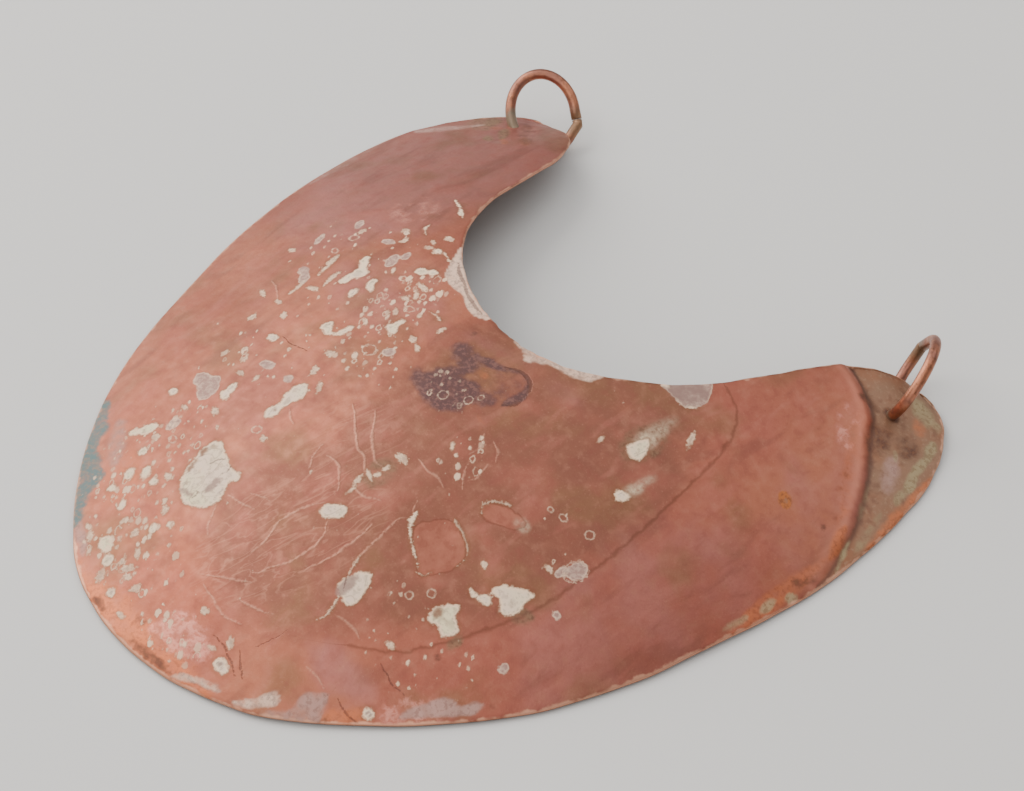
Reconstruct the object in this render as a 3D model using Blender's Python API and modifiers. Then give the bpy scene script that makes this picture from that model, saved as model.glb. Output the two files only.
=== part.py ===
"""Trade gorget: a domed crescent of sheet copper with a wire ring through each horn.

The gorget lies on its outer rim, crown up, hollow underneath. X runs across the chest,
+Y towards the horns and +Z up, in metres. The origin is on the floor, under the middle
of the object's box.
"""

import math
from collections import namedtuple

import bmesh
import bpy
from mathutils import Matrix, Vector

MM = 0.001

# ---------------------------------------------------------------- driving dimensions
SHEET_THICKNESS = 0.8 * MM
DOME_RADIUS_X = 128.0 * MM       # how the sheet is raised across the chest
DOME_RADIUS_Y = 189.0 * MM       # and from the chest's edge to the neck notch
STATION_STEP = 3.0 * MM          # mesh step along the crescent
FOLD_STEP = 1.7 * MM             # the same where the right horn is folded
FOLD_START_STATION = 21          # section from which the finer step applies
STRIPS_ACROSS = 14               # mesh strips from the outer rim to the neck notch

HOLE_RADIUS = 2.1 * MM
HOLE_SIDES = 24
WIRE_RADIUS = 1.05 * MM
JOINT_GAP = 0.35 * MM            # between the butting ends of a ring
JOINT_STUB = 0.8 * MM            # wire between a ring's kink and its butting end
STRAIGHT_END = math.radians(25)  # part of a ring, each side of the kink, left unbent
RING_STEPS = 44                  # wire segments round a ring

# One row for each section of the crescent, left horn to right horn, in millimetres: the
# outer rim, which lies on the floor, then the inner rim, which ends in the neck notch.
# Heights are those of the middle of the sheet.
Section = namedtuple("Section", "outer_x outer_y outer_z inner_x inner_y inner_z")
SECTIONS = (
    Section(-54.2, 66.3, 1.9, -54.2, 66.3, 1.9),      # tip of the left horn
    Section(-59.6, 61.8, 1.6, -48.4, 66.8, 3.4),
    Section(-63.3, 56.6, 1.4, -42.8, 65.8, 5.6),
    Section(-66.5, 51.4, 1.0, -38.5, 62.2, 8.0),
    Section(-69.4, 45.5, 0.4, -35.6, 56.4, 10.0),
    Section(-71.0, 33.0, 0.4, -33.9, 46.5, 12.3),
    Section(-70.8, 18.0, 0.4, -31.4, 34.0, 14.7),
    Section(-67.8, 1.0, 0.7, -26.5, 24.8, 16.6),
    Section(-62.4, -17.0, 0.9, -19.5, 18.3, 18.1),
    Section(-56.1, -34.0, 0.6, -13.0, 14.3, 18.9),
    Section(-45.5, -51.5, 0.4, -8.0, 12.5, 19.3),
    Section(-29.0, -67.5, 0.6, -5.0, 11.7, 19.5),
    Section(-16.0, -74.6, 0.5, -2.2, 11.4, 19.6),
    Section(-1.0, -76.9, 0.4, 0.5, 11.3, 19.6),       # middle of the chest
    Section(14.0, -74.6, 0.5, 3.0, 11.4, 19.5),
    Section(27.5, -68.7, 0.6, 5.8, 11.7, 19.4),
    Section(45.0, -51.5, 0.5, 9.5, 12.6, 19.2),
    Section(56.8, -34.5, 0.4, 14.2, 14.8, 18.8),
    Section(63.5, -17.0, 0.6, 20.5, 19.8, 17.9),
    Section(67.5, 1.0, 0.8, 27.0, 27.5, 16.3),
    Section(70.0, 18.0, 0.4, 31.4, 35.5, 14.6),
    Section(70.1, 34.0, 0.4, 34.6, 45.0, 12.5),
    Section(68.3, 47.0, 0.4, 37.0, 53.5, 10.2),
    Section(65.6, 56.5, 0.6, 39.5, 60.5, 7.9),
    Section(62.0, 63.2, 1.1, 42.5, 65.5, 5.8),
    Section(57.2, 67.9, 1.5, 46.5, 68.9, 3.4),
    Section(52.2, 69.8, 1.9, 52.2, 69.8, 1.9),        # tip of the right horn
)

# The fold across the right horn, from the notch to the outer rim, in millimetres. The
# chest's side of it stands proud by step, the tip's side is pressed down by the same.
FoldPoint = namedtuple("FoldPoint", "x y step")
FOLD = (
    FoldPoint(36.0, 58.6, 0.2),
    FoldPoint(42.0, 58.2, 0.6),
    FoldPoint(46.5, 56.6, 0.8),
    FoldPoint(50.5, 54.6, 0.5),
    FoldPoint(55.0, 49.3, 0.4),
    FoldPoint(61.0, 41.7, 0.4),
    FoldPoint(66.3, 33.2, 0.3),
    FoldPoint(70.5, 24.0, 0.2),
)
FOLD_WIDTH = 0.8 * MM            # half width of the step itself
FOLD_REACH = 4.5 * MM            # how far the bent sheet takes to recover

# Shallow dents and swells beaten or bent into the sheet, in millimetres.
Dent = namedtuple("Dent", "x y radius height")
DENTS = (
    Dent(-50.0, 57.0, 6.0, -0.5),      # round the left hole
    Dent(-43.0, 56.0, 5.0, 0.3),
    Dent(-62.0, 24.0, 9.0, 0.4),
    Dent(-57.0, -8.0, 10.0, -0.4),
    Dent(-44.0, -28.0, 9.0, 0.3),
    Dent(-15.5, -46.0, 7.0, -0.3),
    Dent(24.0, -27.0, 6.0, -0.3),
    Dent(3.0, -68.0, 7.0, 0.4),
    Dent(6.0, 1.0, 9.0, -0.3),
    Dent(52.0, -14.0, 11.0, 0.3),
)

# One row for each ring: where its hole is on the sheet (a section's number and the share
# of the way across it), the heading of its swing axis from +Y towards +X, its lean from
# upright, and its oval, measured from the swing axis: the side that sits in the hole,
# the two half axes in millimetres, the long one's direction, and the joint's.
Ring = namedtuple("Ring", "name station across heading lean hole_turn"
                          " half_long half_short long_turn joint_turn")
RINGS = (
    Ring("ring_left", 2.12, 0.48, 41.0, -34.0, -152.0, 8.0, 6.4, 100.0, -19.0),
    Ring("ring_right", 23.15, 0.53, -28.0, 10.0, -154.0, 8.3, 7.6, 11.0, -5.0),
)

COPPER_SHEET = ("copper_sheet", (0.50, 0.22, 0.155), 0.42)
COPPER_WIRE = ("copper_wire", (0.46, 0.21, 0.13), 0.38)


# ---------------------------------------------------------------- scene and materials
def clear_scene():
    for obj in list(bpy.data.objects):
        bpy.data.objects.remove(obj, do_unlink=True)


def new_collection(name):
    collection = bpy.data.collections.new(name)
    bpy.context.scene.collection.children.link(collection)
    return collection


def metal(name, colour, roughness):
    material = bpy.data.materials.new(name)
    material.use_nodes = True
    shader = material.node_tree.nodes["Principled BSDF"]
    shader.inputs["Base Color"].default_value = (*colour, 1.0)
    shader.inputs["Metallic"].default_value = 1.0
    shader.inputs["Roughness"].default_value = roughness
    return material


# ---------------------------------------------------------------- the sheet's surface
def smooth_curve(points, position):
    """A point on the closed centripetal Catmull-Rom curve through points."""
    index = math.floor(position)
    corners = [points[(index + step) % len(points)] for step in (-1, 0, 1, 2)]
    knots = [0.0]
    for near, far in zip(corners, corners[1:]):
        knots.append(knots[-1] + math.sqrt((far - near).length))
    at = knots[1] + (knots[2] - knots[1]) * (position - index)

    def blend(low, high, near, far):
        share = (at - knots[low]) / (knots[high] - knots[low])
        return near.lerp(far, share)

    first = [blend(i, i + 1, corners[i], corners[i + 1]) for i in range(3)]
    second = [blend(i, i + 2, first[i], first[i + 1]) for i in range(2)]
    return blend(1, 2, second[0], second[1])


OUTER_RIM = [Vector(row[0:3]) * MM for row in SECTIONS]
INNER_RIM = [Vector(row[3:6]) * MM for row in SECTIONS]
OUTLINE = OUTER_RIM + INNER_RIM[-2:0:-1]
LAST_STATION = len(SECTIONS) - 1


def fold_height(x, y):
    """Height that the fold across the right horn adds at a place on the sheet."""
    nearest = None
    for start, end in zip(FOLD, FOLD[1:]):
        along = Vector((end.x - start.x, end.y - start.y)) * MM
        offset = Vector((x - start.x * MM, y - start.y * MM))
        share = min(max(offset.dot(along) / along.length_squared, 0.0), 1.0)
        gap = offset - along * share
        step = (start.step + (end.step - start.step) * share) * MM
        if nearest is None or gap.length < nearest[0]:
            nearest = (gap.length, along.x * gap.y - along.y * gap.x, step)
    distance, side, step = nearest
    distance = math.copysign(distance, side)
    ramp = math.tanh(distance / FOLD_WIDTH)
    return -step * ramp * math.exp(-abs(distance) / FOLD_REACH)


def dent_height(x, y):
    total = 0.0
    for dent in DENTS:
        squared = ((x - dent.x * MM) ** 2 + (y - dent.y * MM) ** 2) / (dent.radius * MM) ** 2
        total += dent.height * MM * math.exp(-squared)
    return total


def sheet_point(station, across):
    """The middle of the sheet, from the outer rim (across 0) to the inner rim (1)."""
    outer = smooth_curve(OUTLINE, station)
    inner = smooth_curve(OUTLINE, (len(OUTLINE) - station) % len(OUTLINE))
    point = outer.lerp(inner, across)
    chord = inner - outer
    bulge = chord.x ** 2 / (2 * DOME_RADIUS_X) + chord.y ** 2 / (2 * DOME_RADIUS_Y)
    point.z += across * (1 - across) * bulge
    rim_share = 1 - (1 - 2 * min(across, 0.5)) ** 6
    point.z += rim_share * dent_height(point.x, point.y) + rim_share * fold_height(point.x, point.y)
    return point


def sheet_normal(station, across):
    step = 0.01
    along = sheet_point(station + step, across) - sheet_point(station - step, across)
    over = sheet_point(station, across + step) - sheet_point(station, across - step)
    normal = along.cross(over).normalized()
    return normal if normal.z > 0 else -normal


# ---------------------------------------------------------------- pieces
def stations():
    """Mesh stations along the crescent, closer together round the fold."""
    places = [0.0]
    for row in range(LAST_STATION):
        middle = [sheet_point(row + end, 0.5) for end in (0, 1)]
        step = FOLD_STEP if row >= FOLD_START_STATION else STATION_STEP
        count = max(3, round((middle[1] - middle[0]).length / step))
        places += [row + (k + 1) / count for k in range(count)]
    return places


def sheet_mesh(name):
    """The crescent's middle surface, open, drawn to a point at each horn's tip."""
    mesh = bmesh.new()
    rows = []
    for station in stations():
        if station in (0, LAST_STATION):
            rows.append([mesh.verts.new(sheet_point(station, 0.0))])
            continue
        shares = [k / STRIPS_ACROSS for k in range(STRIPS_ACROSS + 1)]
        rows.append([mesh.verts.new(sheet_point(station, share)) for share in shares])
    for near, far in zip(rows, rows[1:]):
        for k in range(STRIPS_ACROSS):
            corners = [near[min(k, len(near) - 1)], far[min(k, len(far) - 1)],
                       far[min(k + 1, len(far) - 1)], near[min(k + 1, len(near) - 1)]]
            mesh.faces.new(list(dict.fromkeys(corners)))
    bmesh.ops.recalc_face_normals(mesh, faces=mesh.faces)
    data = bpy.data.meshes.new(name)
    mesh.to_mesh(data)
    mesh.free()
    return data


def build_plate(collection, cutters, material):
    data = sheet_mesh("gorget_plate")
    data.materials.append(material)
    data.shade_smooth()
    plate = bpy.data.objects.new("gorget_plate", data)
    collection.objects.link(plate)
    wall = plate.modifiers.new("sheet", "SOLIDIFY")
    wall.thickness = SHEET_THICKNESS
    wall.offset = 0.0
    wall.use_even_offset = True
    for row in RINGS:
        punch = build_punch(row, cutters)
        hole = plate.modifiers.new(punch.name, "BOOLEAN")
        hole.operation = "DIFFERENCE"
        hole.solver = "EXACT"
        hole.object = punch
    return plate


def build_punch(row, cutters):
    """The cutter of a ring's hole, square to the sheet."""
    name = row.name.replace("ring", "punch")
    mesh = bmesh.new()
    bmesh.ops.create_cone(mesh, cap_ends=True, segments=HOLE_SIDES, radius1=HOLE_RADIUS,
                          radius2=HOLE_RADIUS, depth=8 * SHEET_THICKNESS)
    data = bpy.data.meshes.new(name)
    mesh.to_mesh(data)
    mesh.free()
    punch = bpy.data.objects.new(name, data)
    punch.location = sheet_point(row.station, row.across)
    punch.rotation_mode = "QUATERNION"
    normal = sheet_normal(row.station, row.across)
    punch.rotation_quaternion = Vector((0, 0, 1)).rotation_difference(normal)
    punch.hide_render = True
    punch.display_type = "WIRE"
    cutters.objects.link(punch)
    return punch


def oval_radius(row, turn):
    """Distance from a ring's middle to its wire, in a direction in its own plane."""
    along = math.cos(turn - math.radians(row.long_turn)) / (row.half_long * MM)
    over = math.sin(turn - math.radians(row.long_turn)) / (row.half_short * MM)
    return 1 / math.hypot(along, over)


def ring_route(row):
    """The wire's middle line, from one butting end to the other, the hole at the origin."""
    def on_oval(turn, stretch=1.0):
        distance = oval_radius(row, turn) * stretch
        return Vector((math.cos(turn), math.sin(turn), 0)) * distance

    joint = math.radians(row.joint_turn)
    first = joint + STRAIGHT_END
    last = joint + 2 * math.pi - STRAIGHT_END
    turns = [first + (last - first) * k / RING_STEPS for k in range(RING_STEPS + 1)]
    kink = on_oval(joint, 1 / math.cos(STRAIGHT_END))
    arc = [on_oval(turn) for turn in turns]
    towards_arc = (arc[0] - kink).normalized()
    stub_end = kink + towards_arc * JOINT_STUB
    leg_end = stub_end + towards_arc * JOINT_GAP
    middle = -on_oval(math.radians(row.hole_turn))
    return [point + middle for point in [leg_end, *arc, kink, stub_end]]


def ring_frame(row):
    """Where a ring stands: origin in its hole, X along its swing axis, Z off its plane."""
    normal = sheet_normal(row.station, row.across)
    forward = (Vector((0, 1, 0)) - normal * normal.y).normalized()
    axis = Matrix.Rotation(-math.radians(row.heading), 3, normal) @ forward
    upright = Matrix.Rotation(math.radians(row.lean), 3, axis) @ normal
    turned = Matrix((axis, upright, axis.cross(upright))).transposed().to_4x4()
    return Matrix.Translation(sheet_point(row.station, row.across)) @ turned


def build_ring(row, collection, material):
    curve = bpy.data.curves.new(row.name, "CURVE")
    curve.dimensions = "3D"
    curve.bevel_depth = WIRE_RADIUS
    curve.bevel_resolution = 2
    curve.use_fill_caps = True
    route = ring_route(row)
    spline = curve.splines.new("POLY")
    spline.points.add(len(route) - 1)
    for place, point in zip(spline.points, route):
        place.co = (*point, 1.0)
    curve.materials.append(material)
    ring = bpy.data.objects.new(row.name, curve)
    ring.matrix_world = ring_frame(row)
    collection.objects.link(ring)
    return ring


def stand_on_origin(pieces):
    """Moves the whole object so that its box stands on the origin, centred."""
    base = bpy.data.objects.new("gorget", None)
    pieces[0].users_collection[0].objects.link(base)
    bpy.context.view_layer.update()
    depsgraph = bpy.context.evaluated_depsgraph_get()
    corners = []
    for piece in pieces:
        shape = piece.evaluated_get(depsgraph)
        mesh = shape.to_mesh()
        corners += [shape.matrix_world @ vertex.co for vertex in mesh.vertices]
        shape.to_mesh_clear()
    low = Vector([min(corner[k] for corner in corners) for k in range(3)])
    high = Vector([max(corner[k] for corner in corners) for k in range(3)])
    base.location = (-(low.x + high.x) / 2, -(low.y + high.y) / 2, -low.z)
    return base


def main():
    clear_scene()
    gorget = new_collection("trade_gorget")
    cutters = new_collection("cutters")
    sheet = metal(*COPPER_SHEET)
    wire = metal(*COPPER_WIRE)
    pieces = [build_plate(gorget, cutters, sheet)]
    pieces += [build_ring(row, gorget, wire) for row in RINGS]
    base = stand_on_origin(pieces)
    for piece in pieces + list(cutters.objects):
        piece.parent = base
    bpy.context.view_layer.update()


main()
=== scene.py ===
"""Looks of the trade gorget: a domed crescent of tarnished sheet copper with two wire rings.

Shapes are worked out in millimetres on the design's own axes, X across the chest and +Y
towards the horns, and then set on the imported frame, which is in metres.
"""

import math
from collections import namedtuple
from functools import reduce

import bmesh
import bpy
import numpy as np
from mathutils import Matrix, Vector


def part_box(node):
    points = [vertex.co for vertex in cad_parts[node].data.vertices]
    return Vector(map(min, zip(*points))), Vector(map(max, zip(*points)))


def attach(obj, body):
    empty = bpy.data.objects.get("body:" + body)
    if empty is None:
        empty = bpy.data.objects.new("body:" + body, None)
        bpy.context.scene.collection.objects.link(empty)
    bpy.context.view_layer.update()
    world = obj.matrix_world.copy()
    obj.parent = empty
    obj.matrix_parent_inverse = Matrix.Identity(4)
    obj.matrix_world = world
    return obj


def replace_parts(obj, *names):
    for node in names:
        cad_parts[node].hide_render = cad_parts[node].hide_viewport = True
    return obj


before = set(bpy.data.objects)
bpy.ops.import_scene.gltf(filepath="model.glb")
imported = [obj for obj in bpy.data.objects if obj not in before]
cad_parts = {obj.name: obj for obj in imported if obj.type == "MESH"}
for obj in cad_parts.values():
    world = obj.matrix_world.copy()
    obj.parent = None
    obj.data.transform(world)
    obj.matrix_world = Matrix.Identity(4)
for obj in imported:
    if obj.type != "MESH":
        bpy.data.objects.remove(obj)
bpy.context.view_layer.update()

MM = 0.001


def named(kind, *rows):
    """A table's rows with the columns of a named tuple."""
    return [kind(*row) for row in rows]


# ---------------------------------------------------------------- the sheet's shape
SHEET_THICKNESS = 0.8
DOME_RADIUS_X = 128.0            # how the sheet is raised across the chest
DOME_RADIUS_Y = 189.0            # and from the chest's edge to the neck notch
STATIONS = 620                   # mesh lines along the crescent
STRIPS_TOP = 120                 # mesh strips from rim to rim on the crown side
STRIPS_UNDER = 24
RIM_ROUNDING = 0.35              # how far the worn edge rounds over
RIM_STEPS = 5
RIM_INSET = 0.02                 # share of the way across that gives the way in from a rim
RIM_WOBBLE = 0.22                # unevenness of the hand-cut rim
RIM_SEED = 3
TIP_REACH = 0.3                  # of a station: how far a horn's rounded tip reaches
HOLE_RADIUS = 2.1
HOLE_FLARE = 0.3                 # worn lip of a punched hole, see punch_holes
HOLE_SIDES = 48
WELD_DISTANCE = 0.002            # points nearer than this are joined

# One row for each section: the outer rim, then the inner rim, which ends in the neck notch.
Section = namedtuple("Section", "outer_x outer_y outer_z inner_x inner_y inner_z")
SECTIONS = named(Section,
    (-54.2, 66.3, 1.9, -54.2, 66.3, 1.9),  # tip of the left horn
    (-59.6, 61.8, 1.6, -48.4, 66.8, 3.4),
    (-63.3, 56.6, 1.4, -42.8, 65.8, 5.6),
    (-66.5, 51.4, 1, -38.5, 62.2, 8),
    (-69.4, 45.5, 0.4, -35.6, 56.4, 10),
    (-71, 33, 0.4, -33.9, 46.5, 12.3),
    (-70.8, 18, 0.4, -31.4, 34, 14.7),
    (-67.8, 1, 0.7, -26.5, 24.8, 16.6),
    (-62.4, -17, 0.9, -19.5, 18.3, 18.1),
    (-56.1, -34, 0.6, -13, 14.3, 18.9),
    (-45.5, -51.5, 0.4, -8, 12.5, 19.3),
    (-29, -67.5, 0.6, -5, 11.7, 19.5),
    (-16, -74.6, 0.5, -2.2, 11.4, 19.6),
    (-1, -76.9, 0.4, 0.5, 11.3, 19.6),  # middle of the chest
    (14, -74.6, 0.5, 3, 11.4, 19.5),
    (27.5, -68.7, 0.6, 5.8, 11.7, 19.4),
    (45, -51.5, 0.5, 9.5, 12.6, 19.2),
    (56.8, -34.5, 0.4, 14.2, 14.8, 18.8),
    (63.5, -17, 0.6, 20.5, 19.8, 17.9),
    (67.5, 1, 0.8, 27, 27.5, 16.3),
    (70, 18, 0.4, 31.4, 35.5, 14.6),
    (70.1, 34, 0.4, 34.6, 45, 12.5),
    (68.3, 47, 0.4, 37, 53.5, 10.2),
    (65.6, 56.5, 0.6, 39.5, 60.5, 7.9),
    (62, 63.2, 1.1, 42.5, 65.5, 5.8),
    (57.2, 67.9, 1.5, 46.5, 68.9, 3.4),
    (52.2, 69.8, 1.9, 52.2, 69.8, 1.9),  # tip of the right horn
)

# The fold across the right horn: the step is how far it lifts the chest's side.
FoldPoint = namedtuple("FoldPoint", "x y step")
FOLD = named(FoldPoint,
    (38.4, 59.6, 0.3),
    (42.2, 59.2, 0.6),
    (46.4, 57.4, 0.8),
    (50.6, 55, 0.6),
    (53.6, 51.2, 0.4),
    (57.4, 47.2, 0.4),
    (61, 42.5, 0.4),
    (65, 36, 0.4),
    (67, 30.5, 0.3),
    (69.4, 23, 0.2),
)
FOLD_WIDTH = 0.8                 # half width of the step itself
FOLD_REACH = 4.5                 # how far the bent sheet takes to recover
FOLD_SIDE = 30.0                 # the fold marks only the sheet with a larger x

Dent = namedtuple("Dent", "x y radius height")
DENTS = named(Dent,
    (-50, 57, 6, -0.5),                # round the left hole
    (-43, 56, 5, 0.3),
    (-62, 24, 9, 0.4),
    (-57, -8, 10, -0.4),
    (-44, -28, 9, 0.3),
    (-15.5, -46, 7, -0.3),
    (24, -27, 6, -0.3),
    (3, -68, 7, 0.4),
    (6, 1, 9, -0.3),
    (52, -14, 11, 0.3),
)

# Waves along a rim that add up to its unevenness.
Wave = namedtuple("Wave", "count size")
RIM_WAVES = named(Wave, (9, 0.5), (23, 0.35), (47, 0.25), (90, 0.12))

# The punch for a hole: heights from the middle of the sheet, and the share of the flare there.
PunchLevel = namedtuple("PunchLevel", "height flare")
PUNCH = named(PunchLevel, (-4, 1), (-0.45, 1), (-0.2, 0), (0.2, 0), (0.45, 1), (4, 1))

# ---------------------------------------------------------------- the rings' shape
WIRE_RADIUS = 1.05
JOINT_GAP = 0.35                 # between the butting ends
JOINT_STUB = 0.8                 # wire between the kink and its butting end
STRAIGHT_END = math.radians(25)  # part of a ring, each side of the kink, left unbent
RING_STEPS = 120
WIRE_SIDES = 20

# Where a ring's hole is on the sheet, the heading of its swing axis, its lean from upright,
# its oval, and how far from the hole the wire is green.
Ring = namedtuple("Ring", "name body station across heading lean hole_turn"
                          " half_long half_short long_turn joint_turn foot_reach")
RINGS = named(Ring,
    ("ring_left", "left_ring", 2.12, 0.48, 41, -34, -152, 8, 6.4, 100, -19, 4.5),
    ("ring_right", "right_ring", 23.15, 0.53, -28, 10, -154, 8.3, 7.6, 11, -5, 2.2),
)

# ---------------------------------------------------------------- marks on the crown side
# Places are in millimetres on the design's plan. They were charted from the view below as if
# they lay on one smooth dome, and chart_places carries them over to the sheet.
CHART_DOME_HEIGHT = 19.95
CHART_DOME_RADII = 128.15, 189.24
CHART_DOME_CENTRE_Y = 14.58
CHART_ROUNDS = 8                 # rounds of working out where a place lies on the dome
OWN_SPOT_SIZE = 0.75             # spots narrower than this are drawn one to a mesh face
FAR = 4.0                        # beyond this a patch has no influence

# Spots of off-white corrosion. turn is the direction of the long half size, in degrees from
# +X towards +Y.
Oval = namedtuple("Oval", "x y long short turn")
CHALK_SPOTS = named(Oval,
    # across the left horn's root
    (-23.9, 11.4, 1.4, 1, 20), (-22.1, 12.5, 1.1, 0.9, 10), (-36.4, 18, 1.2, 0.65, -25),
    (-27.7, 21.4, 1.1, 0.7, 0), (-26.4, 17.4, 0.95, 0.9, 0), (-34.2, 15.7, 0.9, 0.6, 90),
    (-43.7, 13.3, 0.9, 0.6, 90), (-51.3, 2.1, 0.8, 0.65, 0), (-37.2, -4.1, 1.3, 0.55, 10),
    (-20.2, 8.4, 1.5, 0.6, -10), (-28.6, 17.1, 0.9, 0.5, 20), (-29.3, 18.8, 0.8, 0.4, -30),
    (-28.5, 8.3, 0.9, 0.4, -50), (-19.4, 6.1, 1.2, 0.45, -50), (-20.3, 4.3, 0.8, 0.65, 0),
    (-14.7, 3, 0.7, 0.4, -60), (-10.9, -1.9, 0.9, 0.6, -20), (-8.6, -2.9, 0.9, 0.4, -30),
    (-8.8, 3.1, 0.8, 0.5, 90), (-18.9, 0.7, 0.9, 0.45, -50), (-19.9, -0.4, 0.7, 0.45, -60),
    (-21.4, -4.6, 0.9, 0.35, -20),
    # down the left side
    (-45, -10, 1.1, 0.45, -25), (-40, -10.2, 0.9, 0.5, 0), (-35.8, -12.2, 0.9, 0.6, -40),
    (-41, -15.7, 0.9, 0.7, 90), (-32.7, -17.4, 1.2, 0.9, 10), (-34.6, -22.6, 1, 0.7, -45),
    (-33.2, -23.8, 1.1, 0.6, -50), (-37.7, -24.9, 0.9, 0.6, 90), (-30.6, -26.8, 0.9, 0.5, 0),
    (-26.9, -26, 0.8, 0.5, 90), (-15.2, -20.6, 1.2, 0.5, -55), (-19.2, -18.5, 1, 0.6, -60),
    (-20.2, -14, 1.1, 0.7, 10), (-38.7, -36.5, 1.1, 0.8, -20), (-27.2, -35.5, 1, 0.6, -30),
    (-14.4, -34.4, 0.7, 0.6, 0), (-33.4, -37.9, 0.7, 0.45, 0), (-35.6, -44.8, 1.9, 1.2, 50),
    (-37.3, -46.6, 1.2, 0.8, 40), (-32.6, -45.3, 0.85, 0.7, 0), (-32.1, -48.7, 1.1, 0.9, -50),
    (-23, -49.8, 0.9, 0.6, -10), (-27.5, -51.5, 1.6, 0.9, -60), (-24.5, -52, 0.8, 0.75, 0),
    (-30.3, -53.3, 1.4, 0.9, -60), (-30.7, -57.1, 0.9, 0.85, 0), (-25.8, -58.4, 1.1, 0.75, -60),
    (-22.8, -60.6, 0.7, 0.4, 90), (-19.2, -53.6, 0.7, 0.5, -60), (-17.6, -54.8, 0.9, 0.6, -50),
    (-14.3, -56.2, 0.9, 0.75, 0), (-16.5, -58.4, 1.1, 0.8, -60), (-18.8, -60.9, 0.9, 0.7, 80),
    (-14.9, -63.3, 1, 0.5, -40), (-27.8, -64.7, 0.9, 0.4, -10), (-26, -65.8, 1.2, 0.6, -45),
    (-21.8, -65.3, 1.9, 1.4, -20), (-18.8, -67.2, 1.2, 1.1, 0), (-17.4, -70, 1.5, 0.7, -60),
    (-16.2, -65.9, 0.9, 0.5, 100), (-14.1, -66.2, 1.5, 0.7, 40), (-12.8, -67.2, 0.8, 0.6, 0),
    (-13, -71, 1.1, 0.9, -30), (-9.8, -67.8, 1, 0.65, 60), (-7.8, -72.8, 0.9, 0.6, 0),
    (-23.4, -68, 0.8, 0.3, -60),
    # middle of the chest
    (7.4, -36.2, 2.5, 1.5, 42), (33.5, -23.8, 0.7, 0.5, -30), (33, -45, 0.9, 0.5, 10),
    (41.3, -15.6, 0.85, 0.45, 0), (8.4, -21, 1.3, 0.7, 5), (7.8, -24.3, 0.7, 0.45, 70),
    (7.7, -26.2, 0.7, 0.45, 70), (6.6, -27.2, 1.1, 0.35, -20), (5.9, -29.3, 1.2, 0.5, 100),
    (6.6, -31.3, 0.9, 0.28, 85), (12.7, -13, 0.8, 0.35, -50),
    # the right side and the lower rim
    (37.8, 21.6, 1.8, 0.55, -65), (28.6, 8.1, 0.8, 0.4, 90), (4, -63, 0.8, 0.6, 0),
    (12.1, -63.7, 1.1, 0.6, -40), (14, -67.4, 1.8, 1.2, 0), (10.2, -66.4, 0.8, 0.35, 20),
    (38.8, -55, 1.2, 1, 0),
)
# Corrosion thin enough to let the copper through.
FILM_SPOTS = named(Oval,
    (-31, 10.1, 1.9, 1.1, 110), (-30, 12.6, 1.2, 0.8, 100), (-36.3, 13.8, 1.4, 0.8, 20),
    (-46.2, 14.6, 1.5, 0.8, -60), (-49.3, 7.2, 2, 0.6, 110), (-43.4, -1.3, 1.5, 1.1, -30),
    (-41.5, -2.8, 2, 1, -50), (-27.8, -22.7, 1.7, 1, 10), (-21.6, -22.8, 1, 0.9, 0),
    (-32, -41.6, 1.6, 1.1, 90), (44.5, -12, 2, 1.5, 80), (43, -14.3, 1.4, 0.8, 70),
    (48, -20, 0.8, 0.65, 0), (48.8, -33, 1, 0.8, 90), (-11.8, -7, 1.3, 1, 60),
)
# Thin pale outlines, left by dried drops or by patches that have worn away.
LOOPS = named(Oval,
    (-43.4, 11, 0.95, 0.85, 0), (-43.2, 6.1, 0.9, 0.6, -20), (-17.5, 2.8, 1, 0.7, 20),
    (-15, -8.9, 1.4, 1.2, 0), (-17, -33.8, 0.95, 0.75, 20), (-29.1, -44, 0.95, 0.65, -15),
    (41.1, -5.9, 0.85, 0.75, 60), (35.9, -7.5, 0.75, 0.6, 0), (33.4, -8.2, 0.5, 0.45, 0),
    (28.8, -37, 0.7, 0.65, 0), (31.2, -34, 0.75, 0.7, 0), (7.3, -4.4, 0.75, 0.9, 0),
    (3.2, -6.9, 0.9, 1, 0), (-25.1, 7.8, 0.6, 0.6, 0), (8.4, -2.4, 0.5, 0.6, 0),
    (44.4, -12.3, 2.3, 1.7, 78),
)

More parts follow.
